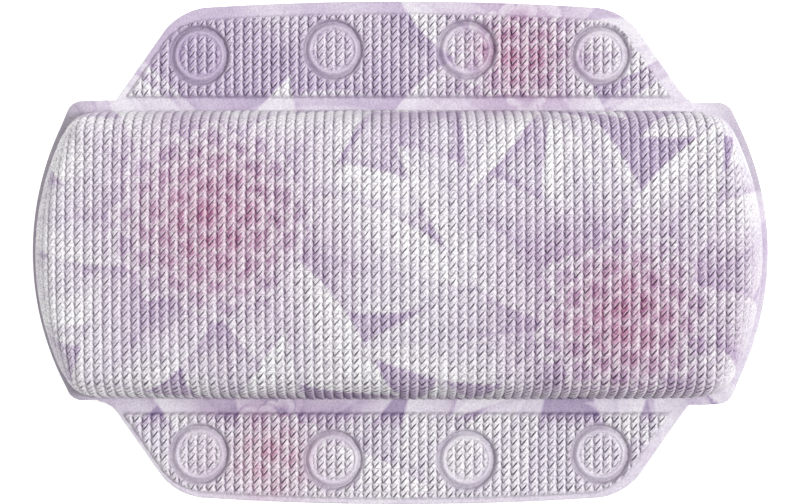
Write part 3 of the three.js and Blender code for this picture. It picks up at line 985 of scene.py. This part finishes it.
class Drape:
    """How the foam's push moves the front sheet: a coarse cloth, held at the foot and blown out."""
    STEP = 0.006
    FRAMES = 20
    # The cloth is worked at ten times its size, where its default springs suit its mesh
    SCALE = 10.0
    PRESSURE = 0.2
    STRETCH = 60.0
    BENDING = 5.0

    def __init__(self, form):
        places = [lattice(self.STEP, half + form.reach) for half in (form.half_width, form.half_height)]
        s, t, cells, used = trim_to_foot(form, *np.meshgrid(*places))
        points = form.draw(s, t)[0]
        moved = self.blow(points, cells) - points
        self.first = (places[0][0], places[1][0])
        self.moves = np.zeros((*used.shape, 3))
        self.moves[used] = moved * form.give / moved[:, 2].max()

    def blow(self, points, cells):
        """Points of the cloth after the simulation."""
        scene = bpy.context.scene
        mesh = bpy.data.meshes.new("drape")
        mesh.from_pydata((points * self.SCALE).tolist(), [], cells.tolist())
        sheet = link_piece("drape", mesh)
        sheet.vertex_groups.new(name="held").add(rim_loop(cells).tolist(), 1.0, "REPLACE")
        cloth = sheet.modifiers.new("drape", "CLOTH").settings
        cloth.vertex_group_mass = "held"
        cloth.use_pressure = True
        cloth.uniform_pressure_force = self.PRESSURE
        cloth.tension_stiffness = self.STRETCH
        cloth.compression_stiffness = self.STRETCH
        cloth.bending_stiffness = self.BENDING
        cloth.effector_weights.gravity = 0.0
        for number in range(1, self.FRAMES + 1):
            scene.frame_set(number)
        graph = bpy.context.evaluated_depsgraph_get()
        blown = sheet.evaluated_get(graph)
        places = np.empty(3 * len(points))
        blown.data.vertices.foreach_get("co", places)
        bpy.data.objects.remove(sheet)
        bpy.data.meshes.remove(mesh)
        scene.frame_set(1)
        return places.reshape(-1, 3) / self.SCALE

    def at(self, s, t):
        """Moves at sheet places, along smooth curves through those of the cloth."""
        column, across = np.divmod((s - self.first[0]) / self.STEP, 1.0)
        row, along = np.divmod((t - self.first[1]) / self.STEP, 1.0)
        total = np.zeros((len(s), 3))
        for i, weight_t in enumerate(curve_weights(along)):
            for j, weight_s in enumerate(curve_weights(across)):
                rows = np.clip(row + i - 1, 0, self.moves.shape[0] - 1).astype(int)
                columns = np.clip(column + j - 1, 0, self.moves.shape[1] - 1).astype(int)
                total += (weight_t * weight_s)[:, None] * self.moves[rows, columns]
        return total


def curve_weights(share):
    """Shares of four neighbours in a smooth curve between the middle two."""
    before = share * (share * (1 - 0.5 * share) - 0.5)
    first = 1 + share * share * (1.5 * share - 2.5)
    second = share * (0.5 + share * (2 - 1.5 * share))
    return before, first, second, 0.5 * share * share * (share - 1)


class BATHPILLOW_OT_cushion_cover(bpy.types.Operator):
    """Printed, embossed front sheet of the cushion with its weld flange"""
    bl_idname = "bathpillow.cushion_cover"
    bl_label = "Cushion cover"
    # How dark the painted shade is on the left flange and on the upper right one
    LEFT_FLANGE_SHADE = 0.54
    RIGHT_FLANGE_SHADE = 0.3
    # How far the flange is pressed down where it goes under a flap
    TUCK_DROP = 0.00025

    def execute(self, context):
        size = settings().cushion
        form = CushionForm(give=size.give)
        limit = form.half_height + form.reach
        grid = rope_grid(form.half_width + form.reach, -limit, limit, *CUSHION_MESH)
        s, t, cells, _ = trim_to_foot(form, *grid)
        points, up, squeeze, end = form.draw(s + waver(s, t), t)
        points += Drape(form).at(s, t) * smooth(0.0, 0.1, up)[:, None]
        relief = self.relief(form, points, up, squeeze)
        relief *= 0.92 + 0.08 * swell(9 * s, 9 * t) + self.wall_relief(t) * (1.0 - end)
        tone, rose = print_sheet(s, t)
        # Painted shade at the foot of the walls and in the grooves of the lower wall
        shell = Shell(points, cells, sheet_s=s, sheet_t=t, relief=relief, tone=tone, blush=rose,
                      press=1.0 - smooth(0.0, 0.06, up), dent=self.shadow(s, t, up) * (1.0 - end))
        rings = [rim_loop(cells)]
        point_x, point_y, out_x, out_y, reach, tucked = form.rim(s[rings[0]], t[rings[0]])
        _, _, sheet_reach, foot = form.limits(out_x)
        # Painted shade on the left flange and on the upper right one
        flange_shade = np.maximum(self.LEFT_FLANGE_SHADE * -out_x, self.RIGHT_FLANGE_SHADE * out_x * smooth(0.012, 0.03, point_y))
        for share, inward, level in RIM_STEPS:
            far = foot + share * (reach - inward - foot)
            height = np.maximum(size.weld_top - level - self.TUCK_DROP * tucked, size.seam)
            height = height - form.droop(out_x, far)
            ring = np.column_stack([point_x + out_x * far, point_y + out_y * far, height])
            past = sheet_reach + far - foot
            ring_tone, ring_rose = print_sheet(point_x + out_x * past, point_y + out_y * past)
            rings.append(shell.add(ring, tone=ring_tone, blush=ring_rose, press=1.0,
                                   dent=np.maximum(flange_shade, 0.0)))
            shell.bridge(rings[-2], rings[-1])
        shell.close_under(rings[-1], form.fill_points(), size.seam)
        piece = shell.build("cushion_printed_cover")
        emboss(piece)
        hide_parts("cushion_front_cover")
        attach(piece, "cushion")
        return {"FINISHED"}

    def relief(self, form, points, up, squeeze):
        """How high the ropes stand: flat at the foot, squeezed at the corners, worn down at the right end."""
        round_end = points[:, 1] ** 2 / (2 * (form.core_arc + form.edge))
        highlighted = 0.85 * smooth(0.14, 0.152, points[:, 0] + round_end)
        return smooth(0.0, 0.08, up) * squeeze ** 0.7 * (1.0 - highlighted)

    def wall_relief(self, t):
        """How much higher the ropes stand on the side walls, most of all on the lower one."""
        return 0.4 * smooth(0.07, 0.09, np.abs(t)) + 0.3 * smooth(0.07, 0.09, -t)

    def shadow(self, s, t, up):
        """Painted shade at the foot of the walls, and in the grooves of the wall that faces down."""
        across = np.mod(s / settings().emboss.rope_pitch, 1.0)
        groove = 1.0 - smooth(0.0, 0.22, np.minimum(across, 1.0 - across))
        lower_foot = 0.5 - 0.5 * smooth(0.0, 0.16, up)
        lower_grooves = 0.85 * groove * (1.0 - smooth(0.6, 0.95, up))
        upper_foot = 0.25 - 0.25 * smooth(0.0, 0.05, up)
        return np.where(t < 0, np.maximum(lower_foot, lower_grooves), upper_foot)


class BATHPILLOW_OT_foam_core(bpy.types.Operator):
    """Foam block inside the cushion"""
    bl_idname = "bathpillow.foam_core"
    bl_label = "Foam core"
    # Distance from the sheet's middle to the foam, and the foam's mesh
    INSET = 0.0028
    STEP = 0.004

    def execute(self, context):
        form = CushionForm(inset=self.INSET)
        places = [lattice(self.STEP, half + form.reach) for half in (form.half_width, form.half_height)]
        s, t, cells, _ = trim_to_foot(form, *np.meshgrid(*places))
        shell = Shell(form.draw(s, t)[0], cells)
        level = settings().cushion.seam + 2 * SEAM_GAP
        lower = shell.skirt(rim_loop(cells), level)
        shell.close_under(lower, form.fill_points(), level)
        piece = shell.build("cushion_foam_fill")
        piece.data.materials.append(open_foam())
        finish_shading(piece, math.radians(50))
        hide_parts("foam_core")
        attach(piece, "cushion")
        return {"FINISHED"}


class BATHPILLOW_OT_cushion_back(bpy.types.Operator):
    """Plain back sheet of the cushion, slightly swollen, with its weld flange"""
    bl_idname = "bathpillow.cushion_back"
    bl_label = "Cushion back"
    # The back's mesh, and the depth and number of its puckers
    STEP = 0.002
    PUCKER_DEPTH = 0.00035
    PUCKERS = 11

    def execute(self, context):
        size = settings().cushion
        form = CushionForm()
        places = [lattice(self.STEP, half) for half in (form.half_width, form.half_height)]
        x, y, cells, _ = trim_to_foot(form, *np.meshgrid(*places), flat=True)
        depth = self.depth(form, x, y)
        points = np.column_stack([x, form.settle(x, y), size.back_level - depth])
        shell = Shell(points, cells[:, ::-1])
        loop = rim_loop(cells)
        point_x, point_y, out_x, out_y, reach, _ = form.rim(x[loop], y[loop])
        rings = [loop]
        low = size.back_level
        top = size.seam - SEAM_GAP
        for far, level in ((reach - 0.0003, low), (reach, low + 0.0002), (reach, top)):
            height = level - form.droop(out_x, far)
            ring = np.column_stack([point_x + out_x * far, point_y + out_y * far, height])
            rings.append(shell.add(ring))
            shell.bridge(rings[-1], rings[-2])
        shell.close_under(rings[-1], form.fill_points(), top)
        piece = shell.build("cushion_back_skin", turn_out=True)
        piece.data.materials.append(back_vinyl())
        finish_shading(piece, math.radians(60))
        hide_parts("cushion_back_sheet")
        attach(piece, "cushion")
        return {"FINISHED"}

    def depth(self, form, x, y):
        """How far the back swells out, with small puckers along the weld."""
        edge_y = np.clip(1 - (np.abs(y) / (form.core_y + form.foot)) ** 2.4, 0.0, 1.0)
        span = form.arc_x + np.sqrt(np.maximum((form.core_arc + form.foot) ** 2 - y ** 2, 0.0))
        edge_x = np.clip(1 - (np.abs(x) / span) ** 5, 0.0, 1.0)
        body = np.minimum(1.12 * edge_y * edge_x ** 0.7, 1.0)
        near = np.exp(-((body - 0.35) / 0.25) ** 2)
        pucker = self.PUCKER_DEPTH * near * np.sin(2 * np.pi * np.arctan2(1.6 * y, x) * self.PUCKERS)
        level = settings().cushion.back_level
        return np.clip(level * body + pucker * (body > 0.02), 0.0, level)


# Flaps

class FlapForm:
    """Outline and height of a flap's front sheet, with y counted outwards from the middle of the pillow."""
    # Widths over which the field and its ropes rise from the border
    FIELD_RISE = 0.0012
    ROPE_RISE = 0.002
    # Lift of the sheet off the weld level, height of its unevenness, and width and drop of its rounded edge
    LIFT = 0.00006
    UNEVEN = 0.00005
    EDGE_WIDTH = 0.0006
    EDGE_DROP = 0.00025

    def __init__(self, edge, outer_border, field_start, sides, direction):
        self.size = settings().flap
        self.cushion = settings().cushion
        self.top = edge
        self.outer_border = outer_border
        self.field_start = field_start
        self.sides = sides[::direction]

    def by_side(self, x, place):
        """One of the sides' sizes, at points on either side."""
        return np.where(x < 0, self.sides[0][place], self.sides[1][place])

    def side(self, x, y):
        """Half width at a height, with the fillet at the root."""
        size = self.size
        drop = math.tan(size.slant) * (np.maximum(y, size.shoulder_y) - size.fold_y)
        share = np.clip(1.0 - (y - size.shoulder_y) / self.by_side(x, 3), 0.0, 1.0)
        return self.by_side(x, 0) - drop + self.by_side(x, 2) * (1.0 - np.sqrt(1.0 - share * share))

    def outside(self, x, y, border=0.0):
        """Signed distance out of the outline, or out of the embossed field with a border of 1."""
        size = self.size
        inset = border * self.by_side(x, 1)
        beside = (np.abs(x) - self.side(x, y)) * math.cos(size.slant) + inset + size.corner
        bow = size.bow * (x / FLAP_BOW_REACH) ** 2
        above = y - (self.top - bow) + border * self.outer_border + size.corner
        rounded = np.hypot(np.maximum(beside, 0.0), np.maximum(above, 0.0))
        return np.minimum(np.maximum(beside, above), 0.0) + rounded - size.corner

    def pull_in(self, x, y):
        """Moves points that lie outside back to the outline."""
        tiny = OUTLINE_TOLERANCE
        for _ in range(4):
            far = np.maximum(self.outside(x, y), 0.0)
            slope_x = (self.outside(x + tiny, y) - self.outside(x - tiny, y)) / (2 * tiny)
            slope_y = (self.outside(x, y + tiny) - self.outside(x, y - tiny)) / (2 * tiny)
            steep = np.maximum(slope_x ** 2 + slope_y ** 2, 0.2)
            x = x - far * slope_x / steep
            y = np.where(y > self.size.tuck + OUTLINE_TOLERANCE, y - far * slope_y / steep, y)
        return x, y

    def front(self, x, y, rings):
        """Height of the sheet, relief, pressed share and painted shade at plan points."""
        size = self.size
        weld = self.cushion.weld_top
        border = np.minimum(-self.outside(x, y, border=1.0), y - self.field_start)
        field = smooth(0.0, self.FIELD_RISE, border)
        height = weld + (size.field_base - weld) * field + self.LIFT + self.UNEVEN * swell(3 * x, 3 * y)
        relief = smooth(0.0, self.ROPE_RISE, border)
        press = 1.0 - field
        # Painted shade along the edge of the embossed field, where the ropes end
        dent = 0.12 * np.exp(-((border - 0.0003) / self.EDGE_WIDTH) ** 2)
        for ring_x, ring_y in rings:
            away = np.hypot(x - ring_x, y - ring_y)
            near = away < RING_OUTER
            height[near] = weld + np.interp(away[near], *RING_HEIGHTS)
            relief[near] = np.interp(away[near], *RING_RELIEF)
            press[near] = smooth(*RING_PRESS, away[near])
            # Painted shade in the ring weld's dip and groove
            dent[near] = np.interp(away[near], *RING_SHADES)
        edge = smooth(-self.EDGE_WIDTH, 0.0, self.outside(x, y))
        height -= self.EDGE_DROP * edge * edge
        return height, relief, press, dent


# Half width over which the outer edge's bow is given
FLAP_BOW_REACH = 0.09
# Half width that holds a flap and its root fillets
FLAP_REACH = 0.132
# Rows of points under a flap: close ones round the fold, from a margin at the root, and wide ones past it
ROOT_MARGIN = 0.0008
CLOSE_END = 0.0705
CLOSE_STEP = 0.0006
WIDE_START = 0.0725
WIDE_STEP = 0.004
# How far those points keep from the flap's outline
UNDER_MARGIN = 0.0012
# Outer radius of a ring weld, and the radii between which its smooth press starts
RING_OUTER = 0.014
RING_PRESS = (0.0086, 0.0098)
# Ring weld across its radius: pad, dip, lip, groove and field, as heights above the weld level
RING_HEIGHTS = (
    (0.0, 0.005, 0.008, 0.009, 0.0097, 0.0104, 0.0119, 0.0124, 0.0132, 0.014),
    (0.0013, 0.0012, 0.0009, 0.0006, 0.0016, 0.0014, -0.0003, -0.0003, 0.0014, 0.0015),
)
# Rope relief across the ring weld
RING_RELIEF = ((0.0074, 0.0096, 0.0127, 0.014), (0.9, 0.0, 0.0, 1.0))
# Painted shade across the ring weld's radius, in its dip and groove
RING_SHADES = (
    (0.0082, 0.009, 0.0096, 0.0101, 0.0108, 0.0116, 0.0122, 0.0126, 0.0134),
    (0.0, 0.12, 0.0, 0.0, 0.12, 0.22, 0.28, 0.42, 0.0),
)
# How far the ring welds sit below the middles of their cups
RING_DROP = 0.0012
# Left and right sides of the flaps: half width at the fold, border, and width and rise of the root fillet
UPPER_SIDES = ((0.1233, 0.0028, 0.0005, 0.0017), (0.1245, 0.0046, 0.0025, 0.0058))
LOWER_SIDES = ((0.1253, 0.0016, 0.0050, 0.0047), (0.1256, 0.0040, 0.0018, 0.0044))
# Flaps: name, direction, outer edge, outer border, field start and sides
FLAPS = (
    ("upper", 1, 0.109, 0.005, 0.0669, UPPER_SIDES),
    ("lower", -1, 0.1097, 0.0022, 0.0696, LOWER_SIDES),
)
CUPS_PER_FLAP = 4


def cup_centres(flap):
    """Middles of a flap's suction cups, from left to right."""
    centres = []
    for number in range(1, CUPS_PER_FLAP + 1):
        low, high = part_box(f"suction_cup_{flap}_{number}")
        centres.append(((low.x + high.x) / 2, (low.y + high.y) / 2))
    return centres


def bend_points(form, step):
    """Plan points for a flap's underside, close together at the fold."""
    at_fold = np.arange(form.size.tuck + ROOT_MARGIN, CLOSE_END, CLOSE_STEP)
    past_fold = np.arange(WIDE_START, form.top, WIDE_STEP)
    columns = np.arange(-FLAP_REACH, FLAP_REACH + 0.0001, step)
    x, y = np.meshgrid(columns, np.concatenate([at_fold, past_fold]))
    x = x.ravel()
    y = y.ravel()
    keep = form.outside(x, y) < -UNDER_MARGIN
    return np.column_stack([x[keep], y[keep]])


def flap_grid(form, step_x, step_y):
    """Plan points and cells of a flap, starting under the cushion's wall."""
    first = math.floor(form.size.tuck / step_y) * step_y
    y_places = np.arange(first, form.top + 2 * step_y, step_y)
    x, y = np.meshgrid(lattice(step_x, FLAP_REACH), y_places)
    used, cells = trimmed_cells(form.outside(x, y) < -SHEET_TOLERANCE)
    x, y = form.pull_in(x[used], y[used])
    return x, y, cells


def flap_sheet(form, direction, past):
    """Plan points and cells of a flap's front sheet, in step with the ropes."""
    size = form.size
    ends = sorted((direction * (size.tuck + past), direction * (form.top + past)))
    s, t = rope_grid(FLAP_REACH, *ends, *FLAP_MESH)
    x = direction * s
    y = direction * t - past
    inside = form.outside(x, y) < -SHEET_TOLERANCE
    used, cells = trimmed_cells(inside & (y > size.tuck + OUTLINE_TOLERANCE))
    x, y = form.pull_in(x[used], np.maximum(y[used], size.tuck))
    settle_rim(cells, x, y, (size.tuck + form.top) / 2)
    return x, y, cells


def turned(points, direction):
    """Points of a flap turned half round for the lower one."""
    flipped = points.copy()
    flipped[:, :2] *= direction
    return flipped


def bend_flap(piece):
    """Bakes a flap sheet's placement into its points."""
    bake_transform(piece)


class BATHPILLOW_OT_flap_covers(bpy.types.Operator):
    """Printed front sheets of both flaps, with fold bands and ring welds"""
    bl_idname = "bathpillow.flap_covers"
    bl_label = "Flap covers"

    def execute(self, context):
        for name, direction, *sizes in FLAPS:
            self.make(name, direction, FlapForm(*sizes, direction))
        return {"FINISHED"}

    def make(self, name, direction, form):
        size = settings().cushion
        wall = CushionForm(give=size.give)
        past = wall.reach - wall.foot
        x, y, cells = flap_sheet(form, direction, past)
        rings = [(direction * cx, direction * (cy - RING_DROP)) for cx, cy in cup_centres(name)]
        height, relief, press, dent = form.front(x, y, rings)
        s = direction * x
        t = direction * (y + past)
        tone, rose = print_sheet(s, t)
        points = turned(np.column_stack([x, y, height]), direction)
        points[:, 0] += waver(s, t) * relief
        shell = Shell(points, cells, sheet_s=s, sheet_t=t, relief=relief, tone=tone, blush=rose,
                      press=press, dent=dent)
        loop = rim_loop(cells)
        lower = shell.skirt(loop, size.seam, tone=tone[loop], blush=rose[loop], press=1.0)
        shell.close_under(lower, turned(bend_points(form, 0.006), direction), size.seam)
        piece = shell.build(f"{name}_flap_printed_cover")
        emboss(piece)
        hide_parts(f"{name}_flap_cover")
        bend_flap(piece)


class BATHPILLOW_OT_flap_backs(bpy.types.Operator):
    """Plain back sheets of both flaps"""
    bl_idname = "bathpillow.flap_backs"
    bl_label = "Flap backs"
    # How far the back is set in on the cushion's flange, and where that ends
    SET_IN = 0.0003
    FLANGE_END = (0.067, 0.0695)

    def execute(self, context):
        for name, direction, *sizes in FLAPS:
            self.make(name, direction, FlapForm(*sizes, direction))
        return {"FINISHED"}

    def make(self, name, direction, form):
        x, y, cells = flap_grid(form, 0.002, 0.0007)
        top = settings().cushion.seam - SEAM_GAP
        points = turned(np.column_stack([x, y, np.full(len(x), top)]), direction)
        shell = Shell(points, cells)
        loop = rim_loop(cells)
        lower = shell.skirt(loop, self.under(points[loop][:, 1]))
        inner = turned(bend_points(form, 0.004), direction)
        shell.close_under(lower, inner, self.under(inner[:, 1]))
        piece = shell.build(f"{name}_flap_back_skin")
        piece.data.materials.append(back_vinyl())
        finish_shading(piece, math.radians(50))
        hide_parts(f"{name}_flap_back")
        bend_flap(piece)

    def under(self, y):
        """Level of the back's face, set in where it lies on the cushion's flange."""
        on_flange = 1.0 - smooth(*self.FLANGE_END, np.abs(y))
        return settings().cushion.back_level + self.SET_IN * on_flange


# Suction cups

CUP_PROFILE_STEPS = 48
# Cup outline from the hollow's middle round the lip and neck to the top: step, radius share, height share
CUP_PROFILE = (
    (0, 0.0, 0.379), (4, 0.16, 0.372), (8, 0.36, 0.335), (12, 0.62, 0.221), (16, 0.86, 0.045),
    (18, 0.915, 0.0), (20, 0.985, 0.0), (22, 1.0, 0.045), (24, 0.965, 0.115), (28, 0.75, 0.379),
    (32, 0.5, 0.558), (34, 0.37, 0.64), (36, 0.338, 0.72), (39, 0.338, 0.865), (40, 0.36, 0.905),
    (41, 0.69, 0.916), (42, 0.719, 0.93), (43, 0.719, 0.985), (44, 0.7, 1.0), (48, 0.0, 1.0),
)


def cup_tree():
    """Tree that turns a cup's outline round its axis."""
    sockets = [("Centre", "Vector"), ("Radius", "Float"), ("Height", "Float"), ("Segments", "Int"),
               ("Material", "Material")]
    tree, given = new_tree("SuctionCup", sockets)
    around = math_node(tree, "ADD", given["Segments"], 1.0)
    counts = {"Vertices X": around, "Vertices Y": CUP_PROFILE_STEPS + 1}
    grid = add_node(tree, "GeometryNodeMeshGrid", {"Size X": 1.0, "Size Y": 1.0, **counts})
    place = add_node(tree, "GeometryNodeInputPosition").outputs[0]
    parts = add_node(tree, "ShaderNodeSeparateXYZ", {0: place}).outputs
    turn = product(tree, math_node(tree, "ADD", parts[0], 0.5), 2 * math.pi)
    step = math_node(tree, "ADD", parts[1], 0.5)

    def outline(column):
        curve = add_node(tree, "ShaderNodeFloatCurve", {"Value": step})
        points = curve.mapping.curves[0].points
        stops = [(row[0] / CUP_PROFILE_STEPS, row[column]) for row in CUP_PROFILE]
        points[0].location = stops[0]
        points[1].location = stops[-1]
        for stop in stops[1:-1]:
            points.new(*stop)
        for point in points:
            point.handle_type = "AUTO_CLAMPED"
        curve.mapping.update()
        return curve.outputs[0]

    radius = product(tree, outline(1), given["Radius"])
    height = product(tree, outline(2), given["Height"])
    x = product(tree, radius, math_node(tree, "COSINE", turn))
    y = product(tree, radius, math_node(tree, "SINE", turn))
    spot = add_node(tree, "ShaderNodeCombineXYZ", {0: x, 1: y, 2: height}).outputs[0]
    moved = add_node(tree, "ShaderNodeVectorMath", {0: spot, 1: given["Centre"]}, operation="ADD")
    places = {"Geometry": grid.outputs[0], "Position": moved.outputs[0]}
    shaped = add_node(tree, "GeometryNodeSetPosition", places)
    merging = {"Geometry": shaped.outputs[0], "Distance": OUTLINE_TOLERANCE}
    merged = add_node(tree, "GeometryNodeMergeByDistance", merging)
    end_tree(tree, merged.outputs[0], given["Material"])
    return tree


class BATHPILLOW_OT_suction_cups(bpy.types.Operator):
    """The eight clear suction cups behind the flaps"""
    bl_idname = "bathpillow.suction_cups"
    bl_label = "Suction cups"
    # Faces round a cup
    SEGMENTS = 64

    def execute(self, context):
        tree = cup_tree()
        clear = clear_vinyl()
        for flap, *_ in FLAPS:
            for number in range(1, CUPS_PER_FLAP + 1):
                self.make(tree, clear, flap, number)
        return {"FINISHED"}

    def make(self, tree, clear, flap, number):
        node = f"suction_cup_{flap}_{number}"
        low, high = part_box(node)
        middle = (low + high) / 2
        piece = link_piece(f"{flap}_cup_{number}", bpy.data.meshes.new(f"{flap}_cup_{number}"))
        values = {
            "Centre": (middle.x, middle.y, low.z),
            "Radius": (high.x - low.x) / 2,
            "Height": high.z - low.z,
            "Segments": self.SEGMENTS,
            "Material": clear,
        }
        apply_tree(piece, tree, values)
        clean_mesh(piece.data, OUTLINE_TOLERANCE, turn_out=True)
        finish_shading(piece, math.radians(60))
        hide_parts(node)
        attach(piece, f"{flap}_flap")
        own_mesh(piece)


# Stage

class BATHPILLOW_OT_stage(bpy.types.Operator):
    """Camera, lamps, surrounding light and pale floor"""
    bl_idname = "bathpillow.stage"
    bl_label = "Stage"

    def execute(self, context):
        look = settings().stage
        scene = context.scene
        scene.view_settings.view_transform = "Standard"
        lens = bpy.data.cameras.new("front_camera")
        lens.sensor_width = look.sensor
        lens.lens = look.sensor * look.camera_height / look.view_width
        lens.clip_start = 0.01
        camera = bpy.data.objects.new("front_camera", lens)
        camera.location = (0.0, 0.0, look.camera_height + settings().cushion.weld_top)
        scene.collection.objects.link(camera)
        scene.camera = camera
        self.lamp("key_lamp", look.key_power, size=1.0, azimuth=0, elevation=52)
        self.lamp("top_lamp", look.top_power, size=4.0, azimuth=95, elevation=64)
        self.surround(scene, look.ambient)
        self.floor(look.floor)
        return {"FINISHED"}

    def lamp(self, name, power, size, azimuth, elevation, distance=5.0):
        data = bpy.data.lights.new(name, "AREA")
        data.energy = power
        data.shape = "DISK"
        data.size = size
        lamp = bpy.data.objects.new(name, data)
        flat = math.cos(math.radians(elevation))
        turn = math.radians(azimuth)
        away = Vector((flat * math.cos(turn), flat * math.sin(turn), math.sin(math.radians(elevation))))
        lamp.location = away * distance
        lamp.rotation_euler = away.to_track_quat("Z", "Y").to_euler()
        bpy.context.scene.collection.objects.link(lamp)

    def seen(self, tree):
        """1 for rays that show the background, else 0."""
        path = add_node(tree, "ShaderNodeLightPath").outputs
        return highest(tree, path["Is Camera Ray"], path["Is Glossy Ray"], path["Is Transmission Ray"])

    def surround(self, scene, ambient):
        world = bpy.data.worlds.new("white_surround")
        world.use_nodes = True
        tree = world.node_tree
        toward = add_node(tree, "ShaderNodeTexCoord").outputs["Generated"]
        inputs = {0: toward, 1: (-0.74, 0.45, 0.0)}
        lit_side = add_node(tree, "ShaderNodeVectorMath", inputs, operation="DOT_PRODUCT").outputs["Value"]
        around = map_range(tree, lit_side, -1.0, 1.0, 0.0, 2.0 * ambient)
        strength = map_range(tree, self.seen(tree), 0.0, 1.0, around, 1.0)
        tree.links.new(strength, tree.nodes["Background"].inputs["Strength"])
        tree.nodes["Background"].inputs["Color"].default_value = opaque((1.0, 1.0, 1.0))
        scene.world = world

    def floor(self, tint):
        mesh = bpy.data.meshes.new("floor")
        half = 3.0
        level = -0.0002
        corners = [(half * x, half * y, level) for x, y in ((-1, -1), (1, -1), (1, 1), (-1, 1))]
        mesh.from_pydata(corners, [], [(0, 1, 2, 3)])
        floor = link_piece("floor", mesh)
        material, tree, shader, _ = new_material("pale_floor", Roughness=0.9)
        shader.inputs["Base Color"].default_value = opaque(tint)
        glow = add_node(tree, "ShaderNodeEmission", {"Strength": product(tree, self.seen(tree), 0.62)})
        both = add_node(tree, "ShaderNodeAddShader", {0: shader.outputs[0], 1: glow.outputs[0]})
        tree.links.new(both.outputs[0], tree.nodes["Material Output"].inputs["Surface"])
        mesh.materials.append(material)


class BATHPILLOW_PT_panel(bpy.types.Panel):
    """Lists the pillow's pieces"""
    bl_label = "Bath Pillow"
    bl_idname = "BATHPILLOW_PT_panel"
    bl_space_type = "VIEW_3D"
    bl_region_type = "UI"
    bl_category = "Bath Pillow"

    def draw(self, context):
        for operator in OPERATORS:
            self.layout.operator(operator.bl_idname)


GROUPS = (EmbossSettings, CushionSettings, FlapSettings, PrintSettings, StageSettings, PillowSettings)
OPERATORS = (
    BATHPILLOW_OT_stage,
    BATHPILLOW_OT_cushion_cover,
    BATHPILLOW_OT_foam_core,
    BATHPILLOW_OT_cushion_back,
    BATHPILLOW_OT_flap_covers,
    BATHPILLOW_OT_flap_backs,
    BATHPILLOW_OT_suction_cups,
)


def register():
    for kind in (*GROUPS, *OPERATORS, BATHPILLOW_PT_panel):
        bpy.utils.register_class(kind)
    bpy.types.Scene.bath_pillow = PointerProperty(type=PillowSettings)


def unregister():
    del bpy.types.Scene.bath_pillow
    for kind in reversed((*GROUPS, *OPERATORS, BATHPILLOW_PT_panel)):
        bpy.utils.unregister_class(kind)


def main():
    register()
    bpy.ops.bathpillow.stage()
    bpy.ops.bathpillow.cushion_cover()
    bpy.ops.bathpillow.foam_core()
    bpy.ops.bathpillow.cushion_back()
    bpy.ops.bathpillow.flap_covers()
    bpy.ops.bathpillow.flap_backs()
    bpy.ops.bathpillow.suction_cups()


if __name__ == "__main__":
    main()
